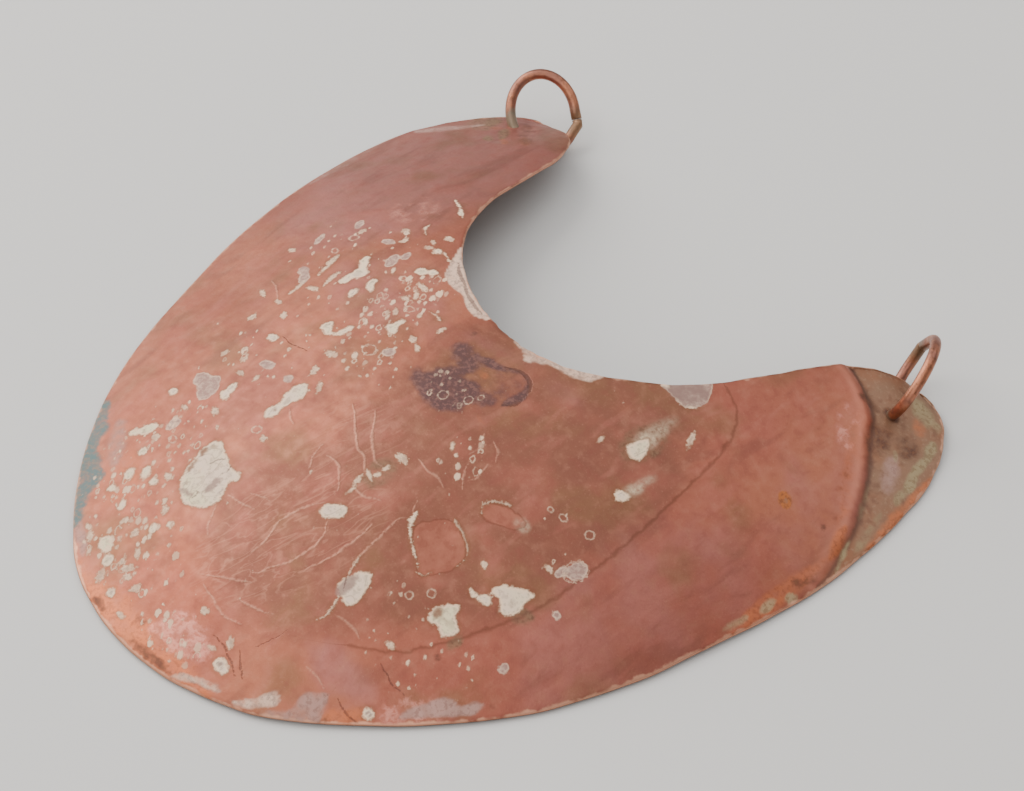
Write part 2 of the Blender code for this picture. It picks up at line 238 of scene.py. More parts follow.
# Patches inside a closed smooth outline of plan points. edge is the width over which a
# patch fades out.
Patch = namedtuple("Patch", "mark weight edge outline")
PATCHES = named(Patch,
    ("chalk", 1, 0, (
        (-36.3, 8.4), (-35.2, 8.2), (-33.3, 5.9), (-31.7, 5), (-31.9, 3.2), (-33, 2.1), (-32.9, 0.7),
        (-34.2, -0.3), (-34.9, 1), (-34.5, 3.5), (-34.8, 4.9), (-36.2, 6.5))),
    ("chalk", 1, 0, (
        (-29.5, 4.7), (-28.5, 4.5), (-28.1, 3.4), (-26.7, 2.1), (-27.3, 1.4), (-29, 2.1), (-29.6, 3.3))),
    ("chalk", 1, 0, (
        (-30.2, 0.4), (-29.2, 0.5), (-28.6, -1), (-29.2, -2.2), (-30.2, -1.5), (-30.4, -0.3))),
    ("chalk", 1, 0, (
        (-27.2, -9.2), (-26.3, -8.4), (-25.4, -9), (-24.2, -10), (-23.3, -9.5), (-22.9, -7.1),
        (-22.2, -6.4), (-21.6, -7.2), (-22.1, -9.6), (-24, -11), (-26, -11.1), (-27.1, -10.4))),
    ("chalk", 1, 0, (
        (-16.5, 0.2), (-15.5, 0.1), (-15.3, -1.5), (-14.6, -3.1), (-15.2, -4.2), (-16.2, -3.6),
        (-17.4, -3), (-17.2, -2), (-16.7, -1.2))),
    ("chalk", 1, 0, (
        (-18.1, -21.3), (-19.1, -23.2), (-19.1, -25.8), (-18.3, -27.4), (-19.1, -29.8), (-18.6, -31.1),
        (-17.4, -31.1), (-16.5, -29.4), (-16.9, -27.6), (-16.1, -25.2), (-15.7, -23.9), (-16.9, -21.8))),
    ("chalk", 1, 0, (
        (-29.6, -29), (-28.8, -28.9), (-27.6, -31.9), (-27.8, -33.1), (-29.9, -32.2), (-29.8, -30.6))),
    ("chalk", 1, 0, (
        (-20.6, -39.4), (-18, -40.4), (-14.8, -41.7), (-13.2, -42.1), (-12.2, -41.5), (-11, -43),
        (-12, -44.3), (-10.9, -46.4), (-10.6, -48.6), (-12.5, -50.9), (-16, -51.7), (-19.6, -49.8),
        (-21.4, -46.4), (-22.3, -42))),
    ("chalk", 1, 0, (
        (19.9, -40), (21.5, -39.2), (22.9, -41.5), (23.4, -44.6), (22, -46.2), (20, -45.2), (18.7, -44.8),
        (18.4, -43.4), (19, -42), (19, -40.8))),
    ("chalk", 1, 0, (
        (37.4, -25.2), (38.8, -23.2), (41.8, -21.1), (43.3, -20.8), (43.1, -22.6), (43.6, -24.6),
        (42.8, -26.8), (41.2, -27.2), (39.6, -25.9), (38, -26))),
    ("chalk", 1, 0, ((34.7, -28.4), (36.6, -28), (37.9, -26.7), (39.6, -27.6), (38, -28.9), (36, -29.1))),
    ("chalk", 1, 0, (
        (33.9, -34.2), (35.4, -32.3), (36.3, -31.9), (37.2, -33.6), (39.4, -34.7), (38.9, -36.6),
        (38, -37.6), (36.2, -37), (34.2, -37.6), (33.5, -36))),
    ("chalk", 1, 0, (
        (33.2, 15.1), (34.1, 15), (35.5, 13), (35.8, 10.8), (33.8, 10), (32.3, 10.9), (32.7, 13))),
    ("chalk", 1, 0, ((38, 4.3), (40.2, 4.9), (40.2, 3.4), (38.9, 2.2), (37.8, 3))),
    ("film", 1, 0, (
        (-38.1, -31.1), (-36.4, -30.1), (-34.9, -30.1), (-33.3, -29.4), (-31.9, -30.6), (-30.8, -32.6),
        (-31.4, -34.7), (-32.8, -35.2), (-35.4, -33.4), (-37.2, -33.1))),
    ("film", 1, 0, (
        (30.8, 33.6), (33.2, 30.4), (33.8, 28.4), (32.3, 25.4), (29.6, 25.2), (26, 25), (25.4, 27),
        (28.6, 33))),
    ("rime", 1, 0.5, (
        (-24, 21.5), (-22.7, 18.3), (-21, 15.4), (-19.6, 13.3), (-16, 12), (-12.6, 11.8), (-10, 10.4),
        (-7.2, 9.8), (-4.6, 10.8), (-6, 13.5), (-14, 17), (-20, 21.5))),
    ("rime", 0.75, 0.6, (
        (2.6, 10.3), (4.8, 10.4), (7.4, 8.9), (9.2, 10.3), (11.6, 11.9), (15.2, 12.9), (18, 14.6),
        (18.8, 16.6), (18.4, 19), (10, 14.6), (3, 13))),
    ("rime", 0.7, 0.9, (
        (20.2, -69.9), (22.3, -67), (24.2, -64.1), (25.7, -63.8), (26.4, -65), (24.4, -67.8),
        (22.8, -69.6), (21.4, -70.6))),
    ("rime", 0.6, 1, (
        (8.8, -73.8), (11, -71.8), (14, -70.5), (16.8, -70), (17.4, -71), (14.4, -71.9), (11.4, -73.6),
        (9.4, -74.6))),
    ("veil", 0.6, 1.2, (
        (28.4, -60.8), (30.4, -58.7), (31.7, -57.8), (33, -60.2), (34, -61.8), (31.6, -64.6), (27, -68),
        (25, -67.6), (28.6, -64.2))),
    ("veil", 0.9, 1, (
        (50.9, -39.4), (51.1, -41.4), (49, -44.4), (46.2, -47.8), (43.4, -51.4), (42.6, -50.4),
        (44, -47.2), (45.6, -43.6), (47.2, -42.6), (48.4, -42.8), (49.4, -40.6))),
    ("teal", 0.9, 1.6, (
        (-49.5, -43.5), (-46, -46.5), (-43, -49), (-41.5, -52.5), (-37, -54.5), (-34.5, -56),
        (-33.5, -60.5), (-31, -63.5), (-30, -67), (-37, -64), (-44, -56), (-50, -48))),
    ("stain", 0.85, 2.6, (
        (-4, 3.4), (-1, 4.2), (2.4, 3.4), (3.2, 1.2), (2.2, -1.4), (-1, -0.6), (-3.6, 0.6))),
    ("stain", 1, 1.4, (
        (0.6, 2.8), (2.4, 4.7), (5.4, 5.2), (8, 6.7), (10.4, 7.1), (12.4, 5.8), (13.8, 3.4), (13.4, 1),
        (12.2, -0.8), (11.7, 1), (12.2, 3.6), (11.4, 5.6), (9.6, 6.2), (7, 4.6), (4, 3.2))),
    ("stain", 0.35, 2, ((4.6, 3.6), (8, 5.2), (11.4, 5.4), (11.6, 1), (11, -1), (6, -0.6), (6, 1.6))),
    ("stain", 0.95, 2.8, (
        (-1, -1), (2, -1.2), (6, -0.7), (10.4, -0.6), (10.2, -3.2), (8, -4.4), (8, -6.8), (6.2, -8.6),
        (4, -10.2), (0, -9.9), (-4, -8.3), (-5.2, -6.2), (-2.6, -4.2))),
    ("worn", 1, 0, (
        (19.9, -27.3), (21.4, -25.6), (23.3, -23), (26.8, -23.1), (30.2, -25), (30.6, -27.6),
        (29.4, -30.8), (27.4, -33.3), (24.2, -31.6), (21.2, -29.9))),
    ("worn", 1, 0, (
        (25.2, -16.8), (26.2, -15), (28.8, -13.6), (31.6, -13), (32.8, -14), (31.2, -16.2), (28.6, -17.8),
        (26.2, -18.2))),
)

# Bands along routes of plan points, each point with the band's half width there. cloud is
# how much copper shows through.
Band = namedtuple("Band", "cloud route")
PALE_BANDS = named(Band,
    (0.3, ((-41.3, 5.6, 0.3), (-40.7, 3.2, 0.6), (-40, 0.8, 0.4), (-39.5, -0.8, 0.2))),
    (0.3, ((-36.6, 2, 0.35), (-36.7, 0.2, 0.6), (-36, -2.6, 0.2))),
    (0.3, ((-40.6, -3.4, 0.3), (-40.1, -5.6, 0.45), (-40, -7.6, 0.2))),
    (0.1, ((-34.4, 22, 0.35), (-34.2, 21, 0.4), (-33.2, 20.1, 0.3), (-32.2, 19.5, 0.2))),
    (0, ((-37.4, 31.3, 0.15), (-34.6, 30, 0.4), (-32.8, 28.9, 0.5), (-31.5, 27.9, 0.2))),
    (0.2, ((-25.2, 17.9, 0.25), (-24, 17.5, 0.3), (-22.3, 16.9, 0.2))),
    (0.3, ((-14.2, 4.8, 0.1), (-12.6, 5, 0.2), (-10.9, 4.6, 0.25))),
    # edge of the worn diamond, and the drip lines above and below it
    (0, (
        (18.3, -26.2, 0.35), (18.8, -27.6, 0.6), (20.2, -29.4, 0.4), (22, -30.6, 0.25),
        (24.2, -31.6, 0.2), (26.2, -32.8, 0.12))),
    (0.3, ((17.4, -38.4, 0.1), (18.3, -41.4, 0.3), (19.6, -43.6, 0.15))),
    (0.2, ((20.2, -45.6, 0.2), (20.7, -47.2, 0.3), (21.1, -49.2, 0.3), (20.5, -51.2, 0.12))),
    (0.5, (
        (24, -22.2, 0.1), (27, -23, 0.15), (29.2, -23.9, 0.2), (30.5, -25.6, 0.2), (30.6, -27.6, 0.1))),
    (0.5, ((28.4, -31.6, 0.1), (28, -32.8, 0.2), (26.6, -33.5, 0.1))),
    (0.4, ((28.4, -13.1, 0.2), (26.4, -14.5, 0.15), (25.1, -16.6, 0.25), (26.2, -18, 0.15))),
    (0.2, ((33.9, 28.8, 0.1), (33.4, 27.2, 0.15), (32.2, 25.4, 0.1))),
    (0.1, ((26.2, 25.2, 0.3), (26.9, 25.8, 0.7), (27.6, 26, 0.3))),
)
CRACKS = [Band(1, route) for route in (
    (
        (6, 5.4, 0.1), (9, 6.8, 0.4), (11.6, 6.4, 0.5), (13.2, 4.2, 0.3), (13.4, 1.4, 0.5),
        (12.2, -0.6, 0.2)),
    ((18.2, -55.6, 0.08), (17.5, -58.2, 0.15), (16.7, -60.2, 0.2), (15.8, -61.8, 0.08)),
    ((8.5, -64.9, 0.05), (11.6, -64.9, 0.12), (14.6, -65.8, 0.15), (17.2, -66.9, 0.06)),
    ((14.4, -63.4, 0.06), (16.6, -65.2, 0.18), (18.6, -66.4, 0.08)),
    ((31.4, -56.2, 0.06), (31.7, -57.6, 0.15), (31.2, -58.4, 0.06)),
    ((33.2, -57.2, 0.05), (35.4, -57.6, 0.15), (38.6, -57.4, 0.12)),
    ((34.2, -48, 0.05), (37.6, -48.9, 0.12), (40.9, -48.6, 0.06)),
    ((-31.2, -16.1, 0.05), (-27.8, -16.5, 0.1), (-24, -16, 0.06)),
    ((18.5, -42.4, 0.1), (19.3, -43.6, 0.25), (20.1, -44.6, 0.1)),
    ((-18.4, -43.7, 0.2), (-17.8, -42.4, 0.3), (-16.6, -41.5, 0.15)),
    ((-14.6, -41.8, 0.15), (-14.2, -43, 0.25), (-15, -44, 0.1)),
    ((-16.4, -49.2, 0.1), (-15.3, -48.9, 0.3), (-15.2, -50.4, 0.15)),
    (
        (-20.6, 17.7, 0.1), (-18.6, 15.9, 0.4), (-15.6, 14.4, 0.3), (-12.6, 12.8, 0.3), (-9, 11.5, 0.25),
        (-6.6, 11, 0.1)),
)]
# Fine pale ridges where the patina has wrinkled.
WRINKLE_WIDTH = 0.17
WRINKLE_END_WIDTH = 0.03
WRINKLES = (
    ((-3, -17.3), (-1.2, -19.3), (0.6, -21.4), (3, -23.2), (5.4, -24.4), (7, -24.4)),
    ((-7.2, -19.2), (-3.6, -21.8), (-1.2, -23.8), (1, -24.9), (3.2, -25.3), (5.2, -27), (7.4, -27.6)),
    ((10.6, -19), (13.6, -19.4), (16.2, -19), (18, -19.6)),
    ((18, -28), (17, -29.4), (17.2, -32), (17.3, -36), (17.6, -39.4), (18.4, -41.6)),
    ((5, -36), (3, -39), (1.8, -42), (1.6, -44.5), (2.4, -47), (2.3, -51)),
    ((8.2, -38.2), (10, -41.4), (9.3, -46.8), (7.2, -50.4), (6.4, -52.4), (5, -53.4)),
    ((14.4, -33), (14.6, -37), (13.9, -42), (12.2, -47)),
    ((-1.6, -59.2), (1.4, -57.2), (4, -55.8), (6.8, -54.4)),
    ((7, -58), (9.6, -57.2), (12.4, -56.4), (14.2, -55.6)),
    ((0, -60), (5, -61), (8, -61.4), (11, -60.2)),
    ((-7, -43.3), (-5.2, -42.6), (-3, -42.2)),
    ((-10.2, -46.2), (-6.8, -45.6), (-3.8, -45)),
    ((-10.4, -48.6), (-9.4, -50.4), (-8.6, -51.8), (-6.8, -53.4)),
    ((-4.6, -28.4), (-4, -31), (-2.6, -33.4)),
    ((-2.2, -29.6), (0.2, -29.4), (2, -30.2), (5, -33)),
    ((6.6, -30.8), (9, -30.6), (12, -29)),
    ((17, -7), (19, -7.6), (20.4, -9.4)),
    ((14.6, -7), (16.2, -9.6), (16, -12)),
    ((17, -12.6), (18.4, -15), (20.4, -17.4)),
    ((19.6, -10.8), (20.6, -13.6), (20, -15.6)),
    ((22.6, -48.2), (25.4, -47.6), (28.4, -48)),
    ((25.4, -57.6), (28, -57.2), (30.4, -57.7)),
    ((-46.6, -6.6), (-44.2, -7.4), (-41, -9.6)),
    ((16.6, -24.6), (17.6, -26.2), (18.6, -27)),
    ((-15.6, -27.2), (-14, -28.4), (-12.4, -28.8)),
)

# Colours of the patina by place, with some painted highlight, sheen and shadow: for each mark,
# rows of a zone's other columns. Where zones of one mark meet, the stronger counts, and
# copper_sheet sets which mark lies over which.
# edge is the width over which a zone fades out.
Zone = namedtuple("Zone", "mark x y long short turn weight edge")
ZONE_ROWS = {
    # browner inside the ghost line and over the left of the chest
    "brown": (
        (20, -6, 27, 40, 0, 1, 12), (6, -42, 22, 18, 0, 0.8, 14), (-24, -34, 10, 16, 20, 0.4, 12),
        (10, -50, 14, 10, 0, 0.5, 10), (-34, -34, 30, 12, -50, 0.5, 14), (-8, -20, 10, 8, 0, 0.4, 10),
    ),
    # mauve over the left horn and along the right side
    "mauve": (
        (-52, 38, 21, 34, 0, 0.9, 16), (-24, 4, 16, 10, 0, 0.5, 10), (8, 8, 14, 3, 10, 0.4, 6),
        (30, -54, 8, 3.5, 10, 0.7, 5), (56, -10, 14, 26, 0, 0.5, 14), (60, 34, 10, 16, 30, 0.4, 10),
    ),
    "warm": (
        (-40, -34, 30, 11, -55, 0.6, 14), (-12, -62, 22, 9, -15, 0.7, 12),
    ),
    # bright, rubbed copper, and a painted highlight on the ridge beside the fold (the rows at 56.6, 43.4
    # and at 65.6, 31.8)
    "bare": (
        (4.8, 1.4, 1.6, 0.8, 10, 0.45, 1.6), (12.6, -6.4, 2.2, 1, -30, 0.30, 2.5),
        (-12, -75, 30, 5, 4, 0.75, 6), (-31, -54, 6, 7, 0, 0.35, 9), (36.5, -58.4, 4.6, 2, 50, 0.60, 2),
        (65.6, 31.8, 4.4, 1.1, -66, 0.90, 1.6), (56.6, 43.4, 14, 1.6, -53, 0.35, 3),
        (67.4, 46, 12, 1.4, -78, 0.65, 1.8), (67.6, 12, 16, 1.6, 93, 0.55, 1.8),
        (55.6, 63.4, 2.4, 1.4, -50, 0.40, 2), (-57.4, 59.2, 1.6, 1.2, 40, 0.40, 1.6),
        (-50.2, 55, 1.8, 0.9, -30, 0.50, 1.4), (-46.8, 57.6, 2.6, 1, -35, 0.45, 1.4),
    ),
    # painted highlight: patches of pink sheen where light catches the copper
    "glow": (
        (5, -67.8, 6, 3, 5, 0.80, 3), (2, -70.4, 3.6, 1.4, 5, 0.80, 3), (-41, 24, 6, 5, 0, 0.30, 4),
        (44, -49, 6, 3, 50, 0.50, 4), (50, 50, 5, 2, -50, 0.50, 4),
    ),
    # olive, brown and grey-green tarnish, and painted shadow along the fold
    "olive": (
        (-61.4, 59.6, 4, 2.6, 60, 0.75, 3.5), (-59.8, 57.4, 2.4, 1.4, 20, 0.70, 2),
        (-53.4, 57.8, 3.2, 1.2, -50, 0.75, 1.6), (-54.2, 54.4, 2, 1.1, -30, 0.75, 1.6),
        (33.4, 14.8, 3.4, 6.5, 0, 0.50, 3), (40.2, -36.6, 1, 1.8, 0, 0.70, 1.2),
        (44.6, -24.6, 2.2, 1.5, 60, 0.60, 1.5), (7.6, -25.6, 2.4, 3.6, 0, 0.60, 2.5),
    ),
    # umber is dark tarnish, and painted shadow in the rows at 47.6, 57.9, at 59, 39.4, at 62.4, 33 and at
    # 68.6, 29, which darken the fold's crease and the valley beside its ridge
    "umber": (
        (-49.6, 60.4, 6.4, 1.5, -42, 0.60, 2.6), (47.6, 57.9, 2.4, 0.9, 5, 0.60, 1.8),
        (54.4, 54, 2.2, 3.6, 20, 0.60, 3), (57.6, 58, 2.6, 3.2, 10, 0.40, 3),
        (51.4, 60, 1.6, 1.2, 10, 0.80, 1.2), (59, 39.4, 6.5, 0.9, -55, 0.25, 2.5),
        (62.4, 33, 5, 0.8, -68, 0.25, 2.5), (62.4, 31.2, 0.6, 0.6, 0, 0.60, 1),
        (68.6, 29, 4, 0.4, -62, 0.60, 0.8), (52.2, -38.2, 0.7, 0.7, 0, 0.60, 1),
        (39.9, -40.5, 0.7, 0.7, 0, 0.70, 0.8), (-3.9, 6.6, 0.6, 0.6, 0, 0.60, 0.8),
        (34.1, -61.3, 1, 0.5, 60, 0.60, 1), (3.4, -74.6, 6, 0.9, 5, 0.65, 1.6),
        (12, -72.6, 4, 0.7, 20, 0.50, 1.4), (-12.4, -74, 2, 0.9, -20, 0.60, 1.4),
        (-4.2, -70.8, 1.6, 1.4, 0, 0.40, 2), (67.4, 19.8, 1, 1, 0, 0.70, 1.2),
        (68, 23, 0.8, 2.4, 0, 0.40, 1.4),
    ),
    "lichen": (
        (53.4, 66.6, 3.2, 1.8, -15, 0.75, 2.2), (57, 66.6, 1.6, 1, -40, 0.60, 1.2),
        (60.2, 61.6, 2.8, 1, -62, 0.90, 1.3), (61.6, 57.4, 2.6, 0.9, -75, 0.85, 1.2),
        (63.2, 53.4, 2.6, 1, -62, 0.90, 1.2), (64.6, 49, 2, 0.9, -70, 0.65, 1.4),
        (58, 54.4, 1.4, 0.5, -40, 0.60, 0.9), (62.6, 41.6, 4, 0.7, -58, 0.40, 1.6),
        (68, 30.6, 4, 0.5, -64, 0.80, 0.9), (67, 38, 6, 0.9, -72, 0.40, 1.6),
        (68.8, 17, 1.2, 1, 90, 0.95, 0.7), (67.6, 12.4, 2, 0.8, 95, 0.75, 0.8),
        (66.8, 5, 3, 0.7, 85, 0.60, 0.9),
    ),
    # grey film on the left rim and the right horn
    "veil": (
        (-38.5, -50, 6, 1.8, -44, 0.55, 2.5), (-27, -67.2, 4.5, 1, -30, 0.55, 1.5),
        (-65, 53.6, 7, 0.8, 56, 0.75, 1.2), (-71, 34, 12, 0.8, 90, 0.45, 1),
        (60.4, 50.6, 4.6, 1.6, -58, 0.55, 2.4),
    ),
    # an amber drop near the right horn
    "amber": (
        (55.2, 28.5, 1.8, 1.3, -35, 1.00, 0.6),
    ),
    # crusts trailing off in smears
    "smear": (
        (33.4, 14.8, 2.2, 1.5, 84, 1.00, 1.8), (33.2, 17.4, 2.4, 1.2, 84, 0.75, 2),
        (33, 20, 2.4, 0.9, 84, 0.35, 2), (39.4, 6.2, 2, 0.9, 78, 1.00, 1.4),
        (39.4, 9, 2, 0.6, 78, 0.60, 1.4), (32.4, -14.1, 1.5, 1, 10, 0.70, 1.2),
    ),
    # fine brushed streaks
    "combed": (
        (5, -44, 18, 11, 70, 1.00, 6), (-2, -25, 10, 9, 60, 0.60, 6),
    ),
    # fine specks, weight being their share
    "specks": (
        (-34, 6, 18, 13, 0, 0.50, 8), (-20, 3, 7, 11, 0, 0.90, 4), (-15, -9, 9, 7, 0, 0.75, 4),
        (-30, -20, 15, 12, 0, 0.40, 8), (-29, -48, 11, 14, 0, 0.75, 6), (-16, -63, 13, 8, 0, 0.80, 5),
        (3, -69.5, 8, 4.5, 0, 0.85, 3), (16, -13, 5, 5.5, 0, 0.80, 3), (36, -41, 12, 9, 0, 0.45, 6),
        (39, -12, 7, 7, 0, 0.30, 5), (22, 16, 4, 3, 0, 0.35, 3), (3, -5.5, 6.5, 3.6, 0, 0.65, 2),
        (-4, -30, 34, 36, 0, 0.12, 12),
    ),
    # copper and dark tarnish that show through the crusts
    "gap": (
        (55.4, 28.6, 0.6, 0.5, -35, 0.80, 0.5), (-21.5, -42.8, 1, 0.55, -60, 0.9, 0.5),
        (-20.9, -45.8, 1.9, 0.45, -75, 0.8, 0.5), (-20.6, -40.9, 1, 0.5, 30, 0.5, 0.6),
        (34.5, -35.4, 0.9, 1.2, 0, 0.9, 0.8), (-17.7, -28.9, 0.5, 0.35, 0, 0.6, 0.5),
    ),
    "plum": (
        (-14.1, -46.4, 1.9, 0.75, 95, 0.9, 0.6), (-17.2, -50.2, 1.9, 0.55, 5, 0.8, 0.6),
        (-18.9, -49, 0.9, 0.5, 60, 0.5, 0.6), (-11.8, -46.6, 0.3, 1.2, 10, 0.7, 0.4),
        (29.8, 28.4, 3.8, 2.6, 50, 0.8, 1.8), (19.7, -43.4, 1, 2.4, 0, 1, 1.2),
        (13.9, -67.3, 0.9, 0.45, 0, 0.8, 0.6), (-13.3, -71, 0.6, 0.35, -40, 1, 0.4),
        (-18.8, -67.4, 0.5, 0.4, 0, 0.6, 0.5), (38.8, -55, 0.5, 0.4, 0, 0.8, 0.4),
    ),
}
ZONES = [Zone(mark, *row) for mark, rows in ZONE_ROWS.items() for row in rows]
MARKS = ("brown", "mauve", "warm", "bare", "glow", "stain", "olive", "umber", "lichen", "veil",
         "teal", "rime", "amber", "smear", "combed", "specks", "gap", "plum")

# The ghost line: edge of an old stain, browner on the notch's side.
GHOST_LINE = ((33, 35), (38, 33), (42, 26.5), (44.3, 15), (45.8, 2), (46, -11), (45, -22),
              (41, -34), (35, -44.5), (28, -50))

# ---------------------------------------------------------------- curves and surfaces
OUTER_RIM = np.array([row[0:3] for row in SECTIONS])
INNER_RIM = np.array([row[3:6] for row in SECTIONS])
OUTLINE = np.concatenate((OUTER_RIM, INNER_RIM[-2:0:-1]))
LAST_STATION = len(SECTIONS) - 1
FINE_STATIONS = 4001             # places along the rim that its length is measured with
OUTLINE_PLACES = 300             # places on the outline that the rim's wear is measured from
SLOPE_STEP = 0.01                # of a station, or of the way across: for a slope
RIM_SLOPE_STEP = 0.02            # of a station: for a rim's direction


def unit(vectors):
    return vectors / np.maximum(np.linalg.norm(vectors, axis=-1, keepdims=True), 1e-12)


def outline_points(positions):
    """Points on the closed centripetal Catmull-Rom curve through the crescent's outline."""
    index = np.floor(positions).astype(int)
    corners = [OUTLINE[(index + step) % len(OUTLINE)] for step in (-1, 0, 1, 2)]
    knots = [np.zeros(len(positions))]
    for near, far in zip(corners, corners[1:]):
        knots.append(knots[-1] + np.sqrt(np.linalg.norm(far - near, axis=1)))
    at = knots[1] + (knots[2] - knots[1]) * (positions - index)

    def blend(low, high, near, far):
        share = (at - knots[low]) / (knots[high] - knots[low])
        return near + (far - near) * share[:, None]

    first = [blend(i, i + 1, corners[i], corners[i + 1]) for i in range(3)]
    second = [blend(i, i + 2, first[i], first[i + 1]) for i in range(2)]
    return blend(1, 2, second[0], second[1])


def smooth_route(route, steps):
    """Rows on a smooth curve through a route's rows, steps of them to each stretch."""
    rows = np.array(route, dtype=float)
    ends = 2 * rows[0] - rows[1], 2 * rows[-1] - rows[-2]
    rows = np.concatenate(([ends[0]], rows, [ends[1]]))
    found = []
    for before, start, end, after in zip(rows, rows[1:], rows[2:], rows[3:]):
        for share in np.arange(steps) / steps:
            bend = 2 * before - 5 * start + 4 * end - after
            turn = 3 * start - before - 3 * end + after
            found.append(start + share * (end - before + share * (bend + share * turn)) / 2)
    return np.array([*found, rows[-2]])


def nearest_on_route(x, y, route):
    """Signed distance from (x, y) to a route of plan points, and how far along it that is.

    The distance is positive on the route's left. The second is in segments from its start.
    """
    best = np.full(np.shape(x), np.inf)
    side = np.zeros(np.shape(x))
    along_route = np.zeros(np.shape(x))
    for number, (start, end) in enumerate(zip(route, route[1:])):
        run = np.subtract(end, start)
        share = ((x - start[0]) * run[0] + (y - start[1]) * run[1]) / run.dot(run)
        share = np.clip(share, 0.0, 1.0)
        gap_x = x - start[0] - share * run[0]
        gap_y = y - start[1] - share * run[1]
        gap = np.hypot(gap_x, gap_y)
        nearer = gap < best
        best = np.where(nearer, gap, best)
        side = np.where(nearer, np.sign(run[0] * gap_y - run[1] * gap_x), side)
        along_route = np.where(nearer, number + share, along_route)
    return best * side, along_route


FOLD_ROUTE = smooth_route(FOLD, 8)


def fold_height(x, y):
    """Height that the fold across the right horn adds at a place on the sheet."""
    distance, along = nearest_on_route(x, y, FOLD_ROUTE[:, :2])
    step = np.interp(along, range(len(FOLD_ROUTE)), FOLD_ROUTE[:, 2])
    return -step * np.tanh(distance / FOLD_WIDTH) * np.exp(-np.abs(distance) / FOLD_REACH)


def dent_height(x, y):
    total = np.zeros(np.shape(x))
    for dent in DENTS:
        squared = ((x - dent.x) ** 2 + (y - dent.y) ** 2) / dent.radius ** 2
        total += dent.height * np.exp(-squared)
    return total


def sheet_points(outer, inner, across):
    """The middle of the sheet between two rims, one row for each pair of rim points."""
    share = across[None, :, None]
    points = outer[:, None] * (1 - share) + inner[:, None] * share
    chord = inner - outer
    bulge = chord[:, 0] ** 2 / (2 * DOME_RADIUS_X) + chord[:, 1] ** 2 / (2 * DOME_RADIUS_Y)
    points[..., 2] += (across * (1 - across))[None] * bulge[:, None]
    rim_share = 1 - (1 - 2 * np.minimum(across, 0.5)) ** 6
    x, y = points[..., 0], points[..., 1]
    points[..., 2] += rim_share[None] * (dent_height(x, y) + fold_height(x, y))
    return points


def grid_normals(points):
    normals = unit(np.cross(np.gradient(points, axis=0), np.gradient(points, axis=1)))
    normals[0], normals[-1] = normals[1], normals[-2]
    return normals * np.sign(normals[..., 2:3])


def sheet_frame(station, across):
    """A place on the sheet and the sheet's normal there."""
    found = []
    for along_step, across_step in ((0, 0), (1, 0), (-1, 0), (0, 1), (0, -1)):
        at = np.array([station + along_step * SLOPE_STEP])
        rims = outline_points(at), outline_points(len(OUTLINE) - at)
        share = np.array([across + across_step * SLOPE_STEP])
        found.append(sheet_points(*rims, share)[0, 0])
    normal = unit(np.cross(found[1] - found[2], found[3] - found[4]))
    return Vector(found[0]), Vector(normal if normal[2] > 0 else -normal)


def even_stations(count):
    """Station positions evenly spaced along the outer rim."""
    fine = np.linspace(0, LAST_STATION, FINE_STATIONS)
    steps = np.linalg.norm(np.diff(outline_points(fine), axis=0), axis=1)
    length = np.concatenate(([0.0], np.cumsum(steps)))
    return np.interp(np.linspace(0, length[-1], count + 1), length, fine)


def rim_line(positions, neighbour):
    """A rim's points, the way out across it and the sheet's normal there.

    neighbour holds points just inside the sheet from each of the rim's points.
    """
    points = outline_points(positions)
    ahead, behind = (outline_points(positions + step)
                     for step in (RIM_SLOPE_STEP, -RIM_SLOPE_STEP))
    along = unit(ahead - behind)
    inward = neighbour - points
    inward -= along * np.sum(inward * along, axis=1, keepdims=True)
    inward = unit(inward)
    normal = unit(np.cross(along, inward))
    return points, -inward, normal * np.sign(normal[:, 2:3])


def wobble(positions):
    """Slow unevenness of a rim along its length, between about -1 and 1."""
    draw = np.random.default_rng(RIM_SEED)
    total = np.zeros(len(positions))
    for wave in RIM_WAVES:
        turns = wave.count * positions / len(OUTLINE) + draw.random()
        total += wave.size * np.sin(2 * math.pi * turns)
    return total


# ---------------------------------------------------------------- mesh helpers
def grid_faces(rows, columns, start, flip):
    """Quads of a grid of points numbered row by row from start."""
    corner = start + np.arange(rows - 1)[:, None] * columns + np.arange(columns - 1)[None]
    quads = np.stack((corner, corner + 1, corner + columns + 1, corner + columns), -1)
    quads = quads.reshape(-1, 4)
    return quads[:, ::-1] if flip else quads


def tube_faces(levels, sides):
    """Quads of a tube of points numbered level by level, and its two ends."""
    faces = []
    for low in range(0, (levels - 1) * sides, sides):
        high = low + sides
        for k in range(sides):
            after = (k + 1) % sides
            faces.append((low + k, low + after, high + after, high + k))
    return [*faces, range(sides)[::-1], range((levels - 1) * sides, levels * sides)]


def mesh_object(name, points, faces):
    data = bpy.data.meshes.new(name)
    data.from_pydata([tuple(point) for point in points], [], [tuple(face) for face in faces])
    obj = bpy.data.objects.new(name, data)
    bpy.context.scene.collection.objects.link(obj)
    return obj


def read_all(items, field, width=1, kind=float):
    """One field of all of a mesh's items, width numbers for each."""
    values = np.empty(len(items) * width, dtype=kind)
    items.foreach_get(field, values)
    return values


def mesh_points(obj):
    return read_all(obj.data.vertices, "co", 3).reshape(-1, 3)


def clean_mesh(obj, distance):
    """Joins points that coincide and turns the faces outwards."""
    mesh = bmesh.new()
    mesh.from_mesh(obj.data)
    bmesh.ops.remove_doubles(mesh, verts=mesh.verts, dist=distance)
    bmesh.ops.dissolve_degenerate(mesh, edges=mesh.edges, dist=distance)
    bmesh.ops.recalc_face_normals(mesh, faces=mesh.faces)
    mesh.to_mesh(obj.data)
    mesh.free()


def store(data, name, values, domain="POINT"):
    values = np.asarray(values, dtype=np.float32)
    kind, field = ("FLOAT", "value") if values.ndim == 1 else ("FLOAT_VECTOR", "vector")
    data.attributes.new(name, kind, domain).data.foreach_set(field, values.ravel())


